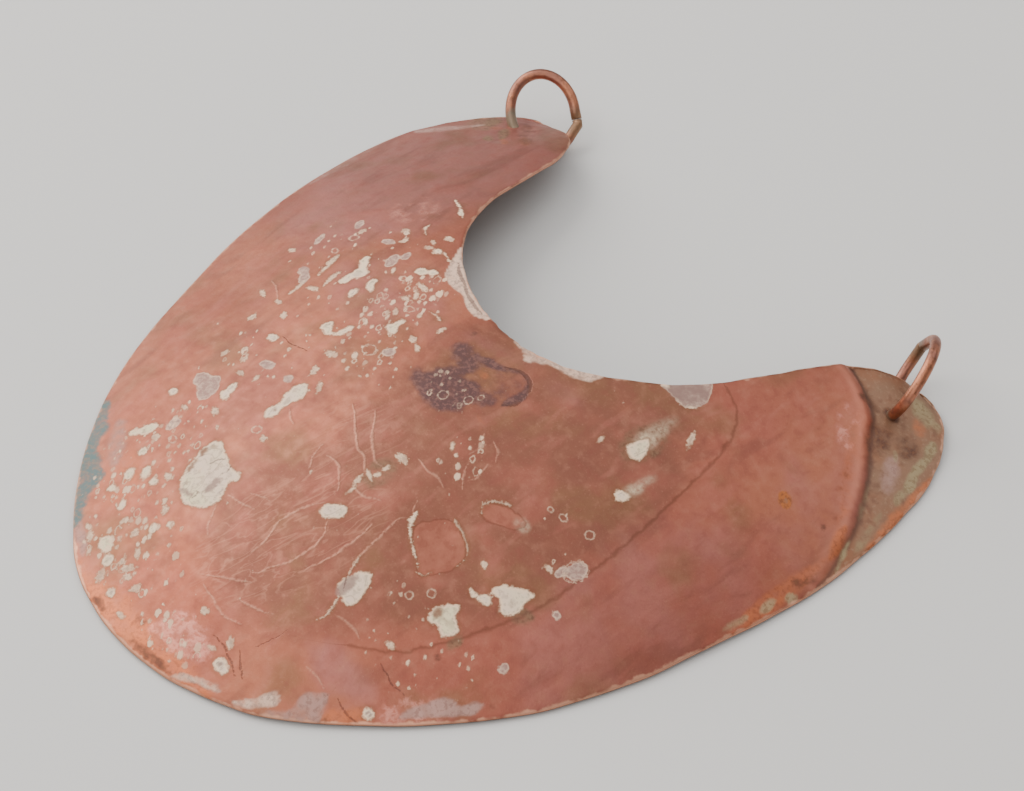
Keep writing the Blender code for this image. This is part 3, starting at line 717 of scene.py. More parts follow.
# ---------------------------------------------------------------- the plate
def plate_points():
    """Grids of points: the crown side, the underside and the two rounded rims."""
    positions = even_stations(STATIONS)
    back = len(OUTLINE) - positions
    outer, inner = outline_points(positions), outline_points(back)
    inset = sheet_points(outer, inner, np.array([RIM_INSET, 1 - RIM_INSET]))
    for end, step in ((0, TIP_REACH), (LAST_STATION, -TIP_REACH)):
        tip = sheet_frame(end + step, 0.5)[0]
        share = np.clip(1.5 - np.abs(positions - end) / TIP_REACH, 0, 1)[:, None, None]
        inset = inset * (1 - share) + np.array(tip) * share
    rims = [rim_line(positions, inset[:, 0]), rim_line(back, inset[:, 1])]
    turns = np.linspace(0, math.pi, RIM_STEPS + 1)[None, :, None]
    rings = []
    edges = []
    for (points, outward, normal), place in zip(rims, (positions, back)):
        points = points + outward * (RIM_WOBBLE * wobble(place) - RIM_WOBBLE)[:, None]
        edge = points - outward * RIM_ROUNDING
        swing = edge[:, None] + (np.sin(turns) * outward[:, None] * RIM_ROUNDING
                                 + np.cos(turns) * normal[:, None] * SHEET_THICKNESS / 2)
        edges.append(edge)
        rings.append(swing)
    sides = []
    for strips, side, row in ((STRIPS_TOP, 1, 0), (STRIPS_UNDER, -1, -1)):
        middle = sheet_points(edges[0], edges[1], np.linspace(0, 1, strips + 1))
        shifted = middle + side * grid_normals(middle) * SHEET_THICKNESS / 2
        shifted[:, 0], shifted[:, -1] = rings[0][:, row], rings[1][:, row]
        sides.append(shifted)
    return [*sides, *rings]


def build_plate():
    points, faces, start = [], [], 0
    for number, grid in enumerate(plate_points()):
        rows, columns = grid.shape[:2]
        points.append(grid.reshape(-1, 3))
        faces.append(grid_faces(rows, columns, start, number in (1, 2)))
        start += rows * columns
    plate = mesh_object("gorget_sheet", np.concatenate(points) * MM, np.concatenate(faces))
    clean_mesh(plate, WELD_DISTANCE * MM)
    return plate


def punch_holes(plate):
    """Meant to cut the rings' two holes with flared lips, but both cuts fail.

    Blender's solver takes closed meshes only, and the plate's is open along about a
    millimetre at each horn's tip. The sheet stays whole, and the wires run through it.
    """
    points = []
    for level in PUNCH:
        radius = HOLE_RADIUS + HOLE_FLARE * level.flare
        for k in range(HOLE_SIDES):
            turn = 2 * math.pi * k / HOLE_SIDES
            points.append((radius * math.cos(turn), radius * math.sin(turn), level.height))
    faces = tube_faces(len(PUNCH), HOLE_SIDES)
    for row in RINGS:
        place, normal = sheet_frame(row.station, row.across)
        turned = Vector((0, 0, 1)).rotation_difference(normal).to_matrix().to_4x4()
        cutter = mesh_object(row.name + "_punch", np.array(points) * MM, faces)
        cutter.matrix_world = Matrix.Translation(place * MM) @ turned
        hole = plate.modifiers.new(cutter.name, "BOOLEAN")
        hole.operation = "DIFFERENCE"
        hole.solver = "MANIFOLD"
        hole.object = cutter
        bpy.context.view_layer.update()
        cut = bpy.data.meshes.new_from_object(
            plate.evaluated_get(bpy.context.evaluated_depsgraph_get()))
        plate.modifiers.clear()
        plate.data = cut
        bpy.data.objects.remove(cutter, do_unlink=True)


# ---------------------------------------------------------------- the rings
def ring_route(row):
    """The wire's middle line, from one butting end to the other, the hole at the origin."""
    def on_oval(turn, stretch=1.0):
        along = math.cos(turn - math.radians(row.long_turn)) / row.half_long
        over = math.sin(turn - math.radians(row.long_turn)) / row.half_short
        distance = 1 / math.hypot(along, over) * stretch
        return Vector((math.cos(turn), math.sin(turn), 0)) * distance

    joint = math.radians(row.joint_turn)
    first = joint + STRAIGHT_END
    last = joint + 2 * math.pi - STRAIGHT_END
    arc = [on_oval(first + (last - first) * k / RING_STEPS) for k in range(RING_STEPS + 1)]
    kink = on_oval(joint, 1 / math.cos(STRAIGHT_END))
    towards_arc = (arc[0] - kink).normalized()
    stub_end = kink + towards_arc * JOINT_STUB
    leg_end = stub_end + towards_arc * JOINT_GAP
    middle = -on_oval(math.radians(row.hole_turn))
    return [point + middle for point in [leg_end, *arc, kink, stub_end]]


def ring_frame(row):
    """Where a ring stands: origin in its hole, X along its swing axis, Z off its plane."""
    place, normal = sheet_frame(row.station, row.across)
    forward = (Vector((0, 1, 0)) - normal * normal.y).normalized()
    axis = Matrix.Rotation(-math.radians(row.heading), 3, normal) @ forward
    upright = Matrix.Rotation(math.radians(row.lean), 3, axis) @ normal
    turned = Matrix((axis, upright, axis.cross(upright))).transposed().to_4x4()
    return Matrix.Translation(place) @ turned


def build_ring(row):
    turned = np.array(ring_frame(row))
    route = np.array(ring_route(row)) @ turned[:3, :3].T + turned[:3, 3]
    along = unit(np.gradient(route, axis=0))
    side = unit(np.cross(along, turned[:3, 2]))
    up = np.cross(side, along)
    turns = np.linspace(0, 2 * math.pi, WIRE_SIDES, endpoint=False)[None, :, None]
    loops = route[:, None] + WIRE_RADIUS * (np.cos(turns) * side[:, None]
                                            + np.sin(turns) * up[:, None])
    points = loops.reshape(-1, 3)
    ring = mesh_object(row.name.replace("ring", "wire_ring"), points * MM,
                       tube_faces(len(route), WIRE_SIDES))
    store(ring.data, "foot", np.linalg.norm(points - turned[:3, 3], axis=1) / row.foot_reach)
    store(ring.data, "joint", np.linalg.norm(points - route[-2], axis=1))
    return ring


# ---------------------------------------------------------------- marks on the mesh
def chart_places(points):
    """Where places on the sheet lie on the chart's dome, as the camera sees them."""
    eye = eye_place()
    way = points - eye
    places = points.copy()
    for _ in range(CHART_ROUNDS):
        x, y = places[:, 0], places[:, 1] - CHART_DOME_CENTRE_Y
        dome = CHART_DOME_HEIGHT - x ** 2 / (2 * CHART_DOME_RADII[0])
        dome = np.maximum(dome - y ** 2 / (2 * CHART_DOME_RADII[1]), 0)
        places = eye + way * ((dome - eye[2]) / way[:, 2])[:, None]
    return places[:, :2]


def oval_place(x, y, oval):
    """(x, y) on an oval's own axes, its rim being one away from its centre."""
    turn = math.radians(oval.turn)
    along = (x - oval.x) * math.cos(turn) + (y - oval.y) * math.sin(turn)
    over = (y - oval.y) * math.cos(turn) - (x - oval.x) * math.sin(turn)
    return along / oval.long, over / oval.short


def oval_depth(x, y, oval):
    """How far (x, y) lies inside an oval, in millimetres, and less than nothing outside."""
    along, over = oval_place(x, y, oval)
    reach = np.maximum(np.hypot(along, over), 1e-6)
    slope = np.maximum(np.hypot(along / oval.long, over / oval.short), 1e-9)
    return np.minimum((1 - reach) * reach / slope, min(oval.long, oval.short))


def patch_depth(x, y, outline):
    """How far (x, y) lies inside a closed smooth outline, as for oval_depth."""
    corners = np.array(outline)
    closed = np.concatenate((corners[-1:], corners, corners[:2]))
    line = smooth_route(closed, 3)[3:-3]
    low, high = line.min(0) - FAR, line.max(0) + FAR
    near = (x > low[0]) & (x < high[0]) & (y > low[1]) & (y < high[1])
    depth = np.full(len(x), -FAR)
    x, y = x[near], y[near]
    inside = np.zeros(len(x), dtype=bool)
    for (x0, y0), (x1, y1) in zip(line, line[1:]):
        if y0 != y1:
            crossing = (y0 > y) != (y1 > y)
            inside ^= crossing & (x < (x1 - x0) * (y - y0) / (y1 - y0) + x0)
    distance = np.abs(nearest_on_route(x, y, line)[0])
    depth[near] = np.where(inside, distance, -distance)
    return depth


def face_layout(data, places):
    """The place of every face corner, of each face's middle, and each corner's face."""
    counts = read_all(data.polygons, "loop_total", kind=int)
    owner = np.repeat(np.arange(len(counts)), counts)
    corners = places[read_all(data.loops, "vertex_index", kind=int)]
    middle = np.stack([np.bincount(owner, corners[:, axis]) / counts for axis in (0, 1)], -1)
    return corners, middle, owner


def least_gap(gaps, count):
    """For each of a count of faces, the number of the gap that is least there."""
    best = np.full(count, np.inf)
    chosen = np.zeros(count, dtype=int)
    for number, gap in enumerate(gaps):
        chosen = np.where(gap < best, number, chosen)
        best = np.minimum(best, gap)
    return chosen


def own_ovals(data, layout, name, ovals):
    """Gives each face the oval whose rim is nearest, as places on that oval's axes.

    The third number is the oval's half width.
    """
    corners, middle, owner = layout
    gaps = (np.abs(oval_depth(middle[:, 0], middle[:, 1], oval)) for oval in ovals)
    chosen = least_gap(gaps, len(middle))[owner]
    values = np.zeros((len(corners), 3))
    for number, oval in enumerate(ovals):
        own = chosen == number
        along, over = oval_place(corners[own, 0], corners[own, 1], oval)
        values[own] = np.stack((along, over, np.full(len(along), oval.short)), -1)
    store(data, name, values, "CORNER")


def own_bands(data, layout, name, bands):
    """Gives each face the stretch of band it lies nearest to.

    The numbers are the distance across the band, its half width and its cloudiness.
    """
    corners, middle, owner = layout
    stretches = []
    for band in bands:
        route = smooth_route(band.route, 4)
        stretches += [(*pair, band.cloud) for pair in zip(route, route[1:])]
    gaps = (np.abs(nearest_on_route(middle[:, 0], middle[:, 1], (start[:2], end[:2]))[0])
            - (start[2] + end[2]) / 2 for start, end, _ in stretches)
    chosen = least_gap(gaps, len(middle))[owner]
    values = np.zeros((len(corners), 3))
    for number, (start, end, cloud) in enumerate(stretches):
        own = chosen == number
        if own.any():
            run = end - start
            length = math.hypot(run[0], run[1])
            gap = corners[own] - start[:2]
            share = (gap[:, 0] * run[0] + gap[:, 1] * run[1]) / length ** 2
            across = (run[0] * gap[:, 1] - run[1] * gap[:, 0]) / length
            beyond = np.maximum(np.maximum(share - 1, -share), 0) * length
            width = start[2] + run[2] * np.clip(share, 0, 1) - beyond
            values[own] = np.stack((across, width, np.full(len(across), cloud)), -1)
    store(data, name, values, "CORNER")


def wrinkle_bands():
    """The wrinkles as bands that narrow at their two ends."""
    bands = []
    for route in WRINKLES:
        widths = [WRINKLE_WIDTH] * len(route)
        widths[0] = widths[-1] = WRINKLE_END_WIDTH
        bands.append(Band(0, [(*spot, width) for spot, width in zip(route, widths)]))
    return bands


def store_marks(plate):
    """Works out, for the plate's material, where each mark lies on its mesh."""
    data = plate.data
    points = mesh_points(plate) / MM
    places = chart_places(points)
    x, y = places[:, 0], places[:, 1]
    broad_spots = [spot for spot in CHALK_SPOTS if spot.short >= OWN_SPOT_SIZE]
    small_spots = [spot for spot in CHALK_SPOTS if spot.short < OWN_SPOT_SIZE]
    depths = {"chalk": [oval_depth(x, y, spot) for spot in broad_spots],
              "film": [oval_depth(x, y, spot) for spot in FILM_SPOTS],
              "worn": []}
    weights = {mark: np.zeros(len(x)) for mark in MARKS}
    patches = [(patch, patch_depth(x, y, patch.outline)) for patch in PATCHES]
    for patch, depth in patches + [(zone, oval_depth(x, y, zone)) for zone in ZONES]:
        if patch.mark in depths:
            depths[patch.mark].append(depth)
        else:
            share = np.clip(depth / patch.edge + 0.5, 0, 1)
            share = patch.weight * share * share * (3 - 2 * share)
            weights[patch.mark] = np.maximum(weights[patch.mark], share)
    for mark, found in depths.items():
        store(data, mark, np.max(found, axis=0))
    for mark, weight in weights.items():
        store(data, mark, weight)
    layout = face_layout(data, places)
    own_ovals(data, layout, "speck", small_spots)
    own_ovals(data, layout, "loop", LOOPS)
    for name, bands in (("band", PALE_BANDS), ("crack", CRACKS), ("wrinkle", wrinkle_bands())):
        own_bands(data, layout, name, bands)
    store(data, "ghost", nearest_on_route(x, y, smooth_route(GHOST_LINE, 3))[0])
    outline = outline_points(np.linspace(0, len(OUTLINE), OUTLINE_PLACES))[:, :2]
    store(data, "rim", np.abs(nearest_on_route(points[:, 0], points[:, 1], outline)[0]))
    fold = nearest_on_route(points[:, 0], points[:, 1], FOLD_ROUTE[:, :2])[0]
    store(data, "fold", np.where(points[:, 0] > FOLD_SIDE, fold, -FAR))
    upwards = read_all(data.vertex_normals, "vector", 3)[2::3]
    store(data, "under", np.clip(-4 * upwards, 0, 1))


# ---------------------------------------------------------------- materials
def tone(red, green, blue):
    """A display colour out of 255 as the linear colour a shader takes."""
    parts = np.array((red, green, blue)) / 255
    linear = np.where(parts <= 0.04045, parts / 12.92, ((parts + 0.055) / 1.055) ** 2.4)
    return (*[float(part) for part in linear], 1.0)


class Paint:
    """A material under construction. Inputs may be numbers, colours or other sockets."""

    def __init__(self, name):
        self.material = bpy.data.materials.new(name)
        self.material.use_nodes = True
        self.tree = self.material.node_tree
        coordinates = self.node("ShaderNodeTexCoord")
        self.place = self.vector("SCALE", coordinates.outputs["Object"], scale=1 / MM)

    def put(self, socket, value):
        if isinstance(value, bpy.types.NodeSocket):
            self.tree.links.new(value, socket)
        else:
            socket.default_value = value

    def node(self, kind, inputs=None, **settings):
        """A new node with its settings, and its inputs by name or number."""
        node = self.tree.nodes.new(kind)
        for name, value in settings.items():
            setattr(node, name, value)
        for name, value in (inputs or {}).items():
            self.put(node.inputs[name], value)
        return node

    def sum(self, operation, *values, clamp=False):
        return self.node("ShaderNodeMath", dict(enumerate(values)), operation=operation,
                         use_clamp=clamp).outputs[0]

    def vector(self, operation, *values, scale=None):
        inputs = dict(enumerate(values))
        if scale is not None:
            inputs["Scale"] = scale
        node = self.node("ShaderNodeVectorMath", inputs, operation=operation)
        return node.outputs["Value" if operation == "LENGTH" else "Vector"]

    def joined(self, operation, values):
        """Several values made one, pair by pair."""
        return reduce(lambda total, value: self.sum(operation, total, value), values)

    def add(self, *values):
        return self.joined("ADD", values)

    def both(self, *shares):
        return self.joined("MULTIPLY", shares)

    def either(self, *shares):
        return self.joined("MAXIMUM", shares)

    def scaled(self, value, factor):
        return self.sum("MULTIPLY", value, factor)

    def parts(self, value):
        return self.node("ShaderNodeSeparateXYZ", {0: value}).outputs

    def mark(self, name, output="Fac"):
        return self.node("ShaderNodeAttribute", attribute_name=name).outputs[output]

    def drawn_out(self, turn, stretch, seed):
        """Places for a pattern drawn out along a direction in degrees from +X towards +Y."""
        return self.node("ShaderNodeMapping", {
            "Vector": self.place, "Location": (seed, seed * 1.7, 0),
            "Rotation": (0, 0, math.radians(turn)), "Scale": (stretch, 1, 1),
        }, vector_type="TEXTURE").outputs["Vector"]

    def noise(self, size, detail=3.0, rough=0.55, seed=0.0, turn=0.0, stretch=1.0, twist=0.0):
        """Noise about 0 with features of a size in millimetres."""
        node = self.node("ShaderNodeTexNoise", {
            "Vector": self.drawn_out(turn, stretch, seed), "Scale": 1 / size,
            "Detail": detail, "Roughness": rough, "Distortion": twist})
        return self.sum("SUBTRACT", node.outputs["Fac"], 0.5)

    def shove(self, size, place=None):
        """Noise about 0 along each of the axes, to push places about with."""
        node = self.node("ShaderNodeTexNoise",
                         {"Vector": place or self.place, "Scale": 1 / size})
        return self.vector("SUBTRACT", node.outputs["Color"], (0.5, 0.5, 0.5))

    def strewn(self, spacing, largest, share, seed, turn, stretch):
        """Specks strewn by chance: how far a place lies inside one, and two chance numbers.

        Out of the points a spacing apart, a share has specks, of up to the largest radius.
        """
        place = self.drawn_out(turn, stretch, seed)
        place = self.vector("MULTIPLY_ADD", self.shove(0.5, place), (0.6, 0.6, 0.6), place)
        cells = self.node("ShaderNodeTexVoronoi", {"Vector": place, "Scale": 1 / spacing})
        chance = self.parts(cells.outputs["Color"])
        size = self.sum("SUBTRACT", self.sum("ADD", chance[0], share), 1.0, clamp=True)
        radius = self.scaled(size, largest)
        depth = self.sum("SUBTRACT", radius, self.scaled(cells.outputs["Distance"], spacing))
        without = self.sum("LESS_THAN", size, 0.01)
        return self.sum("SUBTRACT", depth, without), chance[1], chance[2]

    def step(self, value, low, high):
        """Goes smoothly from 0 at low to 1 at high."""
        return self.node("ShaderNodeMapRange",
                         {"Value": value, "From Min": low, "From Max": high},
                         interpolation_type="SMOOTHSTEP").outputs["Result"]

    def near_line(self, value, place, reach):
        """1 on the line where a value is at a place, fading to 0 at a reach from it."""
        gap = self.sum("ABSOLUTE", self.sum("SUBTRACT", value, place))
        return self.step(gap, reach, 0)

    def coloured(self, value):
        if isinstance(value, bpy.types.NodeSocket):
            return value.type == "RGBA"
        return isinstance(value, tuple)

    def blend(self, share, first, second):
        kind = "RGBA" if self.coloured(first) or self.coloured(second) else "FLOAT"
        ends = {"RGBA": "Color", "FLOAT": "Float"}[kind]
        node = self.node("ShaderNodeMix", data_type=kind)
        inputs = {socket.identifier: socket for socket in node.inputs}
        outputs = {socket.identifier: socket for socket in node.outputs}
        self.put(inputs["Factor_Float"], share)
        self.put(inputs["A_" + ends], first)
        self.put(inputs["B_" + ends], second)
        return outputs["Result_" + ends]

    def coated(self, colour, *coats):
        """A colour under coats, each a share, the coat's strength and its colour."""
        for share, strength, hue in coats:
            colour = self.blend(self.scaled(share, strength), colour, hue)
        return colour

    def finish(self, colour, metallic, roughness, height):
        bump = self.node("ShaderNodeBump", {"Strength": 1.0, "Distance": MM, "Height": height})
        shader = self.tree.nodes["Principled BSDF"]
        for name, value in (("Base Color", colour), ("Metallic", metallic),
                            ("Roughness", roughness), ("Normal", bump.outputs["Normal"])):
            self.put(shader.inputs[name], value)
        return self.material


# The sheet's tarnish, from the lowest layer up, with painted light among it: a painted sheen,
# and in part painted highlight and shadow in the bare copper and umber layers. share is how well
# a layer covers, and breaking how much its edge is broken up.
Layer = namedtuple("Layer", "mark hue grit metal rough share breaking")
LAYERS = named(Layer,
    ("bare", tone(208, 118, 74), tone(156, 88, 58), 0.9, 0.42, 0.7, 1.2),
    ("glow", tone(226, 154, 136), tone(182, 104, 84), 0.85, 0.42, 0.65, 3.2),
    ("stain", tone(90, 60, 60), tone(124, 84, 76), 0.4, 0.50, 0.9, 1.6),
    ("olive", tone(128, 104, 76), tone(92, 66, 46), 0.4, 0.60, 0.8, 1.3),
    ("umber", tone(84, 52, 42), tone(124, 78, 52), 0.4, 0.60, 0.85, 1.6),
    ("veil", tone(182, 144, 132), tone(146, 110, 98), 0.3, 0.60, 0.85, 1.2),
    ("teal", tone(80, 128, 130), tone(146, 132, 116), 0.1, 0.80, 0.8, 2.2),
    ("lichen", tone(166, 150, 112), tone(126, 102, 72), 0.1, 0.80, 0.75, 1.3),
    ("rime", tone(236, 200, 174), tone(168, 138, 124), 0.1, 0.75, 0.9, 1.4),
    ("amber", tone(172, 94, 36), tone(110, 58, 24), 0.3, 0.35, 0.95, 0.5),
)


def copper_sheet():
    paint = Paint("tarnished_copper_sheet")
    add, both, either = paint.add, paint.both, paint.either
    blend, coated, mark, scaled, step = (paint.blend, paint.coated, paint.mark, paint.scaled,
                                         paint.step)
    near_line, less = paint.near_line, "SUBTRACT"
    broad = paint.noise(38, 2, 0.5)
    drift = paint.noise(9, 2, 0.5, seed=40)
    olive_drift = paint.noise(12, 2, 0.5, seed=330)
    streaks = paint.noise(4, 3, 0.5, seed=200, turn=90, stretch=3.3, twist=0.6)
    combed = paint.noise(2.0, 2, 0.5, seed=410, turn=76, stretch=8, twist=0.5)
    veins = paint.noise(7, 1, 0.5, seed=260, turn=90, stretch=2.2, twist=1.2)
    mottle = paint.noise(2.2, 3, 0.5, seed=80)
    ragged = paint.noise(0.8, 3, 0.6, seed=160)
    grain = paint.noise(0.45, 3, 0.6, seed=120)
    shove = paint.shove(0.6)

    def zone(name, broad_break=0.9, fine_break=1.3):
        """A charted zone with its edge broken up by noise."""
        weight = mark(name)
        raised = add(weight, scaled(drift, broad_break), scaled(mottle, fine_break),
                     scaled(ragged, fine_break / 2))
        return both(step(raised, 0.05, 0.95), step(weight, 0.0, 0.35))

    def inside_line(name, bend):
        """How far a place lies inside the nearest band of a kind, and its cloudiness."""
        across, width, cloud = paint.parts(mark(name, "Vector"))
        across = add(across, scaled(mottle, bend))
        return paint.sum(less, width, paint.sum("ABSOLUTE", across)), cloud

    def inside_oval(name, bend):
        """How far a place lies inside the nearest oval of a kind."""
        spot = mark(name, "Vector")
        flat = paint.vector("MULTIPLY", spot, (1, 1, 0))
        bent = paint.vector("MULTIPLY_ADD", shove, (bend, bend, 0), flat)
        reach = paint.sum(less, 1.0, paint.vector("LENGTH", bent))
        return both(reach, paint.parts(spot)[2])

    # copper, from pink to brown and mauve
    colour = blend(step(broad, -0.14, 0.14), tone(172, 105, 81), tone(160, 92, 76))
    combing = zone("combed")
    colour = coated(
        colour,
        (zone("brown", 1.4, 0.25), 1.0, tone(134, 85, 69)),
        (zone("mauve", 1.4, 0.25), 0.9, tone(170, 110, 101)),
        (zone("warm", 1.4, 0.25), 0.7, tone(164, 92, 68)),
        (step(drift, 0.0, 0.2), 0.4, tone(174, 100, 84)),
        (step(olive_drift, 0.02, 0.2), 0.6, tone(134, 95, 69)),
        (step(streaks, 0.02, 0.2), 0.3, tone(182, 112, 96)),
        (step(streaks, -0.02, -0.2), 0.4, tone(126, 78, 66)),
        (step(mottle, 0.0, 0.24), 0.3, tone(143, 80, 70)),
        (step(mottle, 0.0, -0.24), 0.2, tone(180, 124, 100)),
        (step(grain, 0.05, 0.3), 0.25, tone(196, 135, 112)),
        (step(grain, -0.08, -0.3), 0.3, tone(116, 70, 58)),
        (both(combing, near_line(combed, 0.04, 0.04)), 0.22, tone(204, 144, 118)),
        (both(combing, near_line(combed, -0.05, 0.04)), 0.25, tone(116, 72, 58)))
    metallic, roughness = 0.88, add(0.48, scaled(mottle, 0.25))

    # beyond the fold the right horn is tan, brown and grey; a painted shadow lies in the fold's crease
    # and a painted highlight on the ridge beside it
    fold = add(mark("fold"), scaled(mottle, 0.9))
    beyond = step(fold, 0.0, 0.9)
    tan = coated(
        blend(step(drift, -0.12, 0.12), tone(146, 98, 70), tone(140, 108, 84)),
        (step(mottle, -0.02, -0.22), 0.6, tone(104, 70, 54)),
        (step(ragged, 0.02, 0.2), 0.35, tone(168, 140, 112)))
    colour = coated(
        colour,
        (beyond, 0.9, tan),
        # painted shadow in the fold's crease
        (near_line(fold, 0.75, 0.9), 0.55, tone(84, 54, 50)),
        # painted highlight on the ridge beside the fold
        (near_line(fold, -1.3, 1.6), 0.5, tone(206, 132, 108)))
    metallic = blend(beyond, metallic, 0.55)

    grit = scaled(step(ragged, -0.04, 0.14), 0.75)
    for layer in LAYERS:
        weight = scaled(zone(layer.mark, fine_break=layer.breaking), layer.share)
        colour = blend(weight, colour, blend(grit, layer.hue, layer.grit))
        metallic = blend(weight, metallic, layer.metal)
        roughness = blend(weight, roughness, layer.rough)

    # smears, the ghost line and the worn diamond
    smear = both(mark("smear"), step(ragged, 0.4, -0.3))
    ghost = add(mark("ghost"), scaled(mottle, 1.6))
    worn = add(mark("worn"), scaled(mottle, 1.4))
    colour = coated(
        colour,
        (smear, 0.95, tone(220, 198, 164)),
        (near_line(ghost, 0.0, 0.55), 0.5, tone(100, 62, 48)),
        (step(worn, -0.1, 0.3), 0.45, tone(176, 104, 84)),
        (both(step(worn, 0, 0.3), step(mottle, 0.0, 0.1)), 0.35, tone(130, 76, 62)),
        (near_line(worn, 0.0, 0.3), 0.5, tone(112, 64, 50)))

    # pale corrosion: wrinkles, crusts, films with a cream edge, specks and outlines
    wrinkle, _ = inside_line("wrinkle", 1.0)
    wrinkle = both(step(wrinkle, -0.28, 0.14), step(ragged, -0.35, 0.0))
    band, haze = inside_line("band", 0.5)
    depth = add(either(mark("chalk"), band), scaled(ragged, 1.1), scaled(mottle, 1.0))
    crust = step(depth, -0.2, 0.35)
    film_depth = add(mark("film"), scaled(ragged, 0.9), scaled(mottle, 1.0))
    film = step(film_depth, -0.15, 0.2)
    film_edge = both(film, step(film_depth, 0.45, 0.1), step(mottle, -0.2, 0.15))
    inside = inside_oval("speck", 1.8)
    thin = step(mottle, 0.2, -0.1)
    speck = both(step(inside, -0.2, 0.22), blend(thin, 0.55, 1.0))
    core = both(step(inside, 0.12, 0.4), step(ragged, -0.1, 0.1))
    strewn, ring_chance, strength = paint.strewn(1.2, 0.85, mark("specks"), 50, -55, 1.5)
    ring = paint.sum(less, 0.1, paint.sum("ABSOLUTE", strewn))
    strewn = blend(paint.sum("GREATER_THAN", ring_chance, 0.7), strewn, ring)
    strewn = both(step(strewn, -0.12, 0.16), step(strength, -0.6, 0.8))
    loop = both(near_line(inside_oval("loop", 0.8), 0.0, 0.24), step(ragged, -0.25, 0.1))
    small = either(speck, strewn)
    lines = either(scaled(loop, 0.5), scaled(film_edge, 0.55))
    banded = step(paint.sum(less, band, mark("chalk")), -0.1, 0.1)
    crust_share = both(crust, blend(banded, 0.97, paint.sum(less, 0.97, haze)))
    crack = step(inside_line("crack", 1.0)[0], -0.12, 0.08)

    film_hue = blend(step(ragged, -0.12, 0.12), tone(208, 180, 162), tone(176, 144, 132))
    pale = coated(
        blend(step(drift, -0.12, 0.12), tone(244, 226, 184), tone(246, 216, 190)),
        (step(ragged, 0.0, 0.12), 0.55, tone(196, 170, 142)),
        (step(mottle, 0.04, 0.16), 0.35, tone(176, 156, 136)),
        (near_line(veins, -0.03, 0.02), 0.4, tone(150, 126, 104)))
    pale = blend(step(depth, 0.3, 0.7), tone(255, 222, 186), pale)
    halo = either(step(depth, -0.9, -0.1), step(inside, -0.5, 0))
    colour = coated(
        colour,
        (wrinkle, 0.4, tone(208, 152, 126)),
        (halo, 0.3, tone(120, 80, 54)),
        (film, 0.75, film_hue))
    colour = blend(crust_share, colour, pale)
    colour = coated(
        colour,
        (small, 0.85, tone(250, 212, 176)),
        (core, 0.6, tone(176, 148, 128)))
    colour = blend(lines, colour, tone(250, 214, 180))
    # a painted highlight: a pale line along the sheet's edges, where light catches them
    rim = add(mark("rim"), scaled(mottle, 1.6))
    stained = both(zone("stain"), step(ragged, 0.12, -0.1))
    colour = coated(
        colour,
        (zone("gap", 0.4, 0.6), 0.9, tone(140, 98, 74)),
        (zone("plum", 0.8, 1.4), 0.8, tone(152, 120, 110)),
        (crack, 0.6, tone(88, 60, 54)),
        (stained, 0.5, tone(82, 54, 52)),
        # the painted highlight along the edges
        (step(rim, 0.7, 0.2), 0.7, tone(230, 170, 138)))
    powder = either(crust_share, small, lines, scaled(film, 0.6), smear)
    metallic = blend(powder, metallic, 0.0)
    roughness = blend(powder, roughness, 0.9)

    # the plain brown underside
    plain = coated(
        blend(step(drift, -0.15, 0.15), tone(134, 80, 58), tone(112, 74, 54)),
        (step(mottle, 0.05, 0.2), 0.4, tone(96, 84, 62)))
    under = mark("under")
    colour = blend(under, colour, plain)
    metallic = blend(under, metallic, 0.6)
    roughness = blend(under, roughness, 0.5)
    height = add(*(scaled(pattern, rise) for pattern, rise in (
        (crust, 0.08), (small, 0.05), (wrinkle, 0.05), (crack, -0.05), (lines, 0.03),
        (grain, 0.02), (mottle, 0.06), (drift, 0.3))))
    return paint.finish(colour, metallic, roughness, height)


def copper_wire():
    paint = Paint("copper_wire")
    add, scaled, step = paint.add, paint.scaled, paint.step
    drift = paint.noise(4, 3, 0.6)
    mottle = paint.noise(1.2, 4, 0.65, seed=30)
    grain = paint.noise(0.3, 3, 0.6, seed=60)
    foot = add(paint.mark("foot"), scaled(mottle, 1.2))
    green = scaled(step(foot, 1.0, 0.5), 0.7)
    joint = add(paint.mark("joint"), scaled(mottle, 2.0))
    dull = scaled(step(joint, 4.5, 1.5), 0.7)
    colour = paint.blend(step(drift, -0.12, 0.12), tone(178, 116, 88), tone(150, 100, 84))
    colour = paint.coated(colour, (step(mottle, 0.0, 0.2), 0.6, tone(108, 72, 54)))
    colour = paint.blend(green, colour, tone(112, 116, 98))
    colour = paint.blend(dull, colour, tone(128, 104, 74))
    metallic = paint.blend(paint.either(green, dull), 0.9, 0.3)
    height = add(scaled(grain, 0.04), scaled(mottle, 0.08))
    return paint.finish(colour, metallic, add(0.36, scaled(mottle, 0.3)), height)


# ---------------------------------------------------------------- set on the frame
def seat(pieces, rings):
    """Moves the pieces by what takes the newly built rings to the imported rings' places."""
    shifts = []
    for row, ring in zip(RINGS, rings):
        points = mesh_points(ring)
        low, high = (np.array(corner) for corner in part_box(row.name))
        shifts.append((low + high - points.min(0) - points.max(0)) / 2)
    shift = Vector(np.mean(shifts, axis=0))
    for piece in pieces:
        piece.data.transform(Matrix.Translation(shift))
    return shift


# ---------------------------------------------------------------- studio
CAMERA_ELEVATION = math.radians(46.76)
CAMERA_HEADING = math.radians(48.31)     # of the view over the floor, from +Y towards -X
CAMERA_DISTANCE = 641.3
CAMERA_AIM = (9.31, 10.45)               # right of and beyond the middle, as the view lies
CAMERA_LENS = 120.9
SENSOR_WIDTH = 36.0
FLOOR_HALF_WIDTH = 3.0                   # metres
FLOOR_COLOUR = (0.72, 0.71, 0.69, 1)
FLOOR_ROUGHNESS = 0.9
WORLD_COLOUR = (0.98, 0.98, 1.0, 1)
WORLD_STRENGTH = 0.42

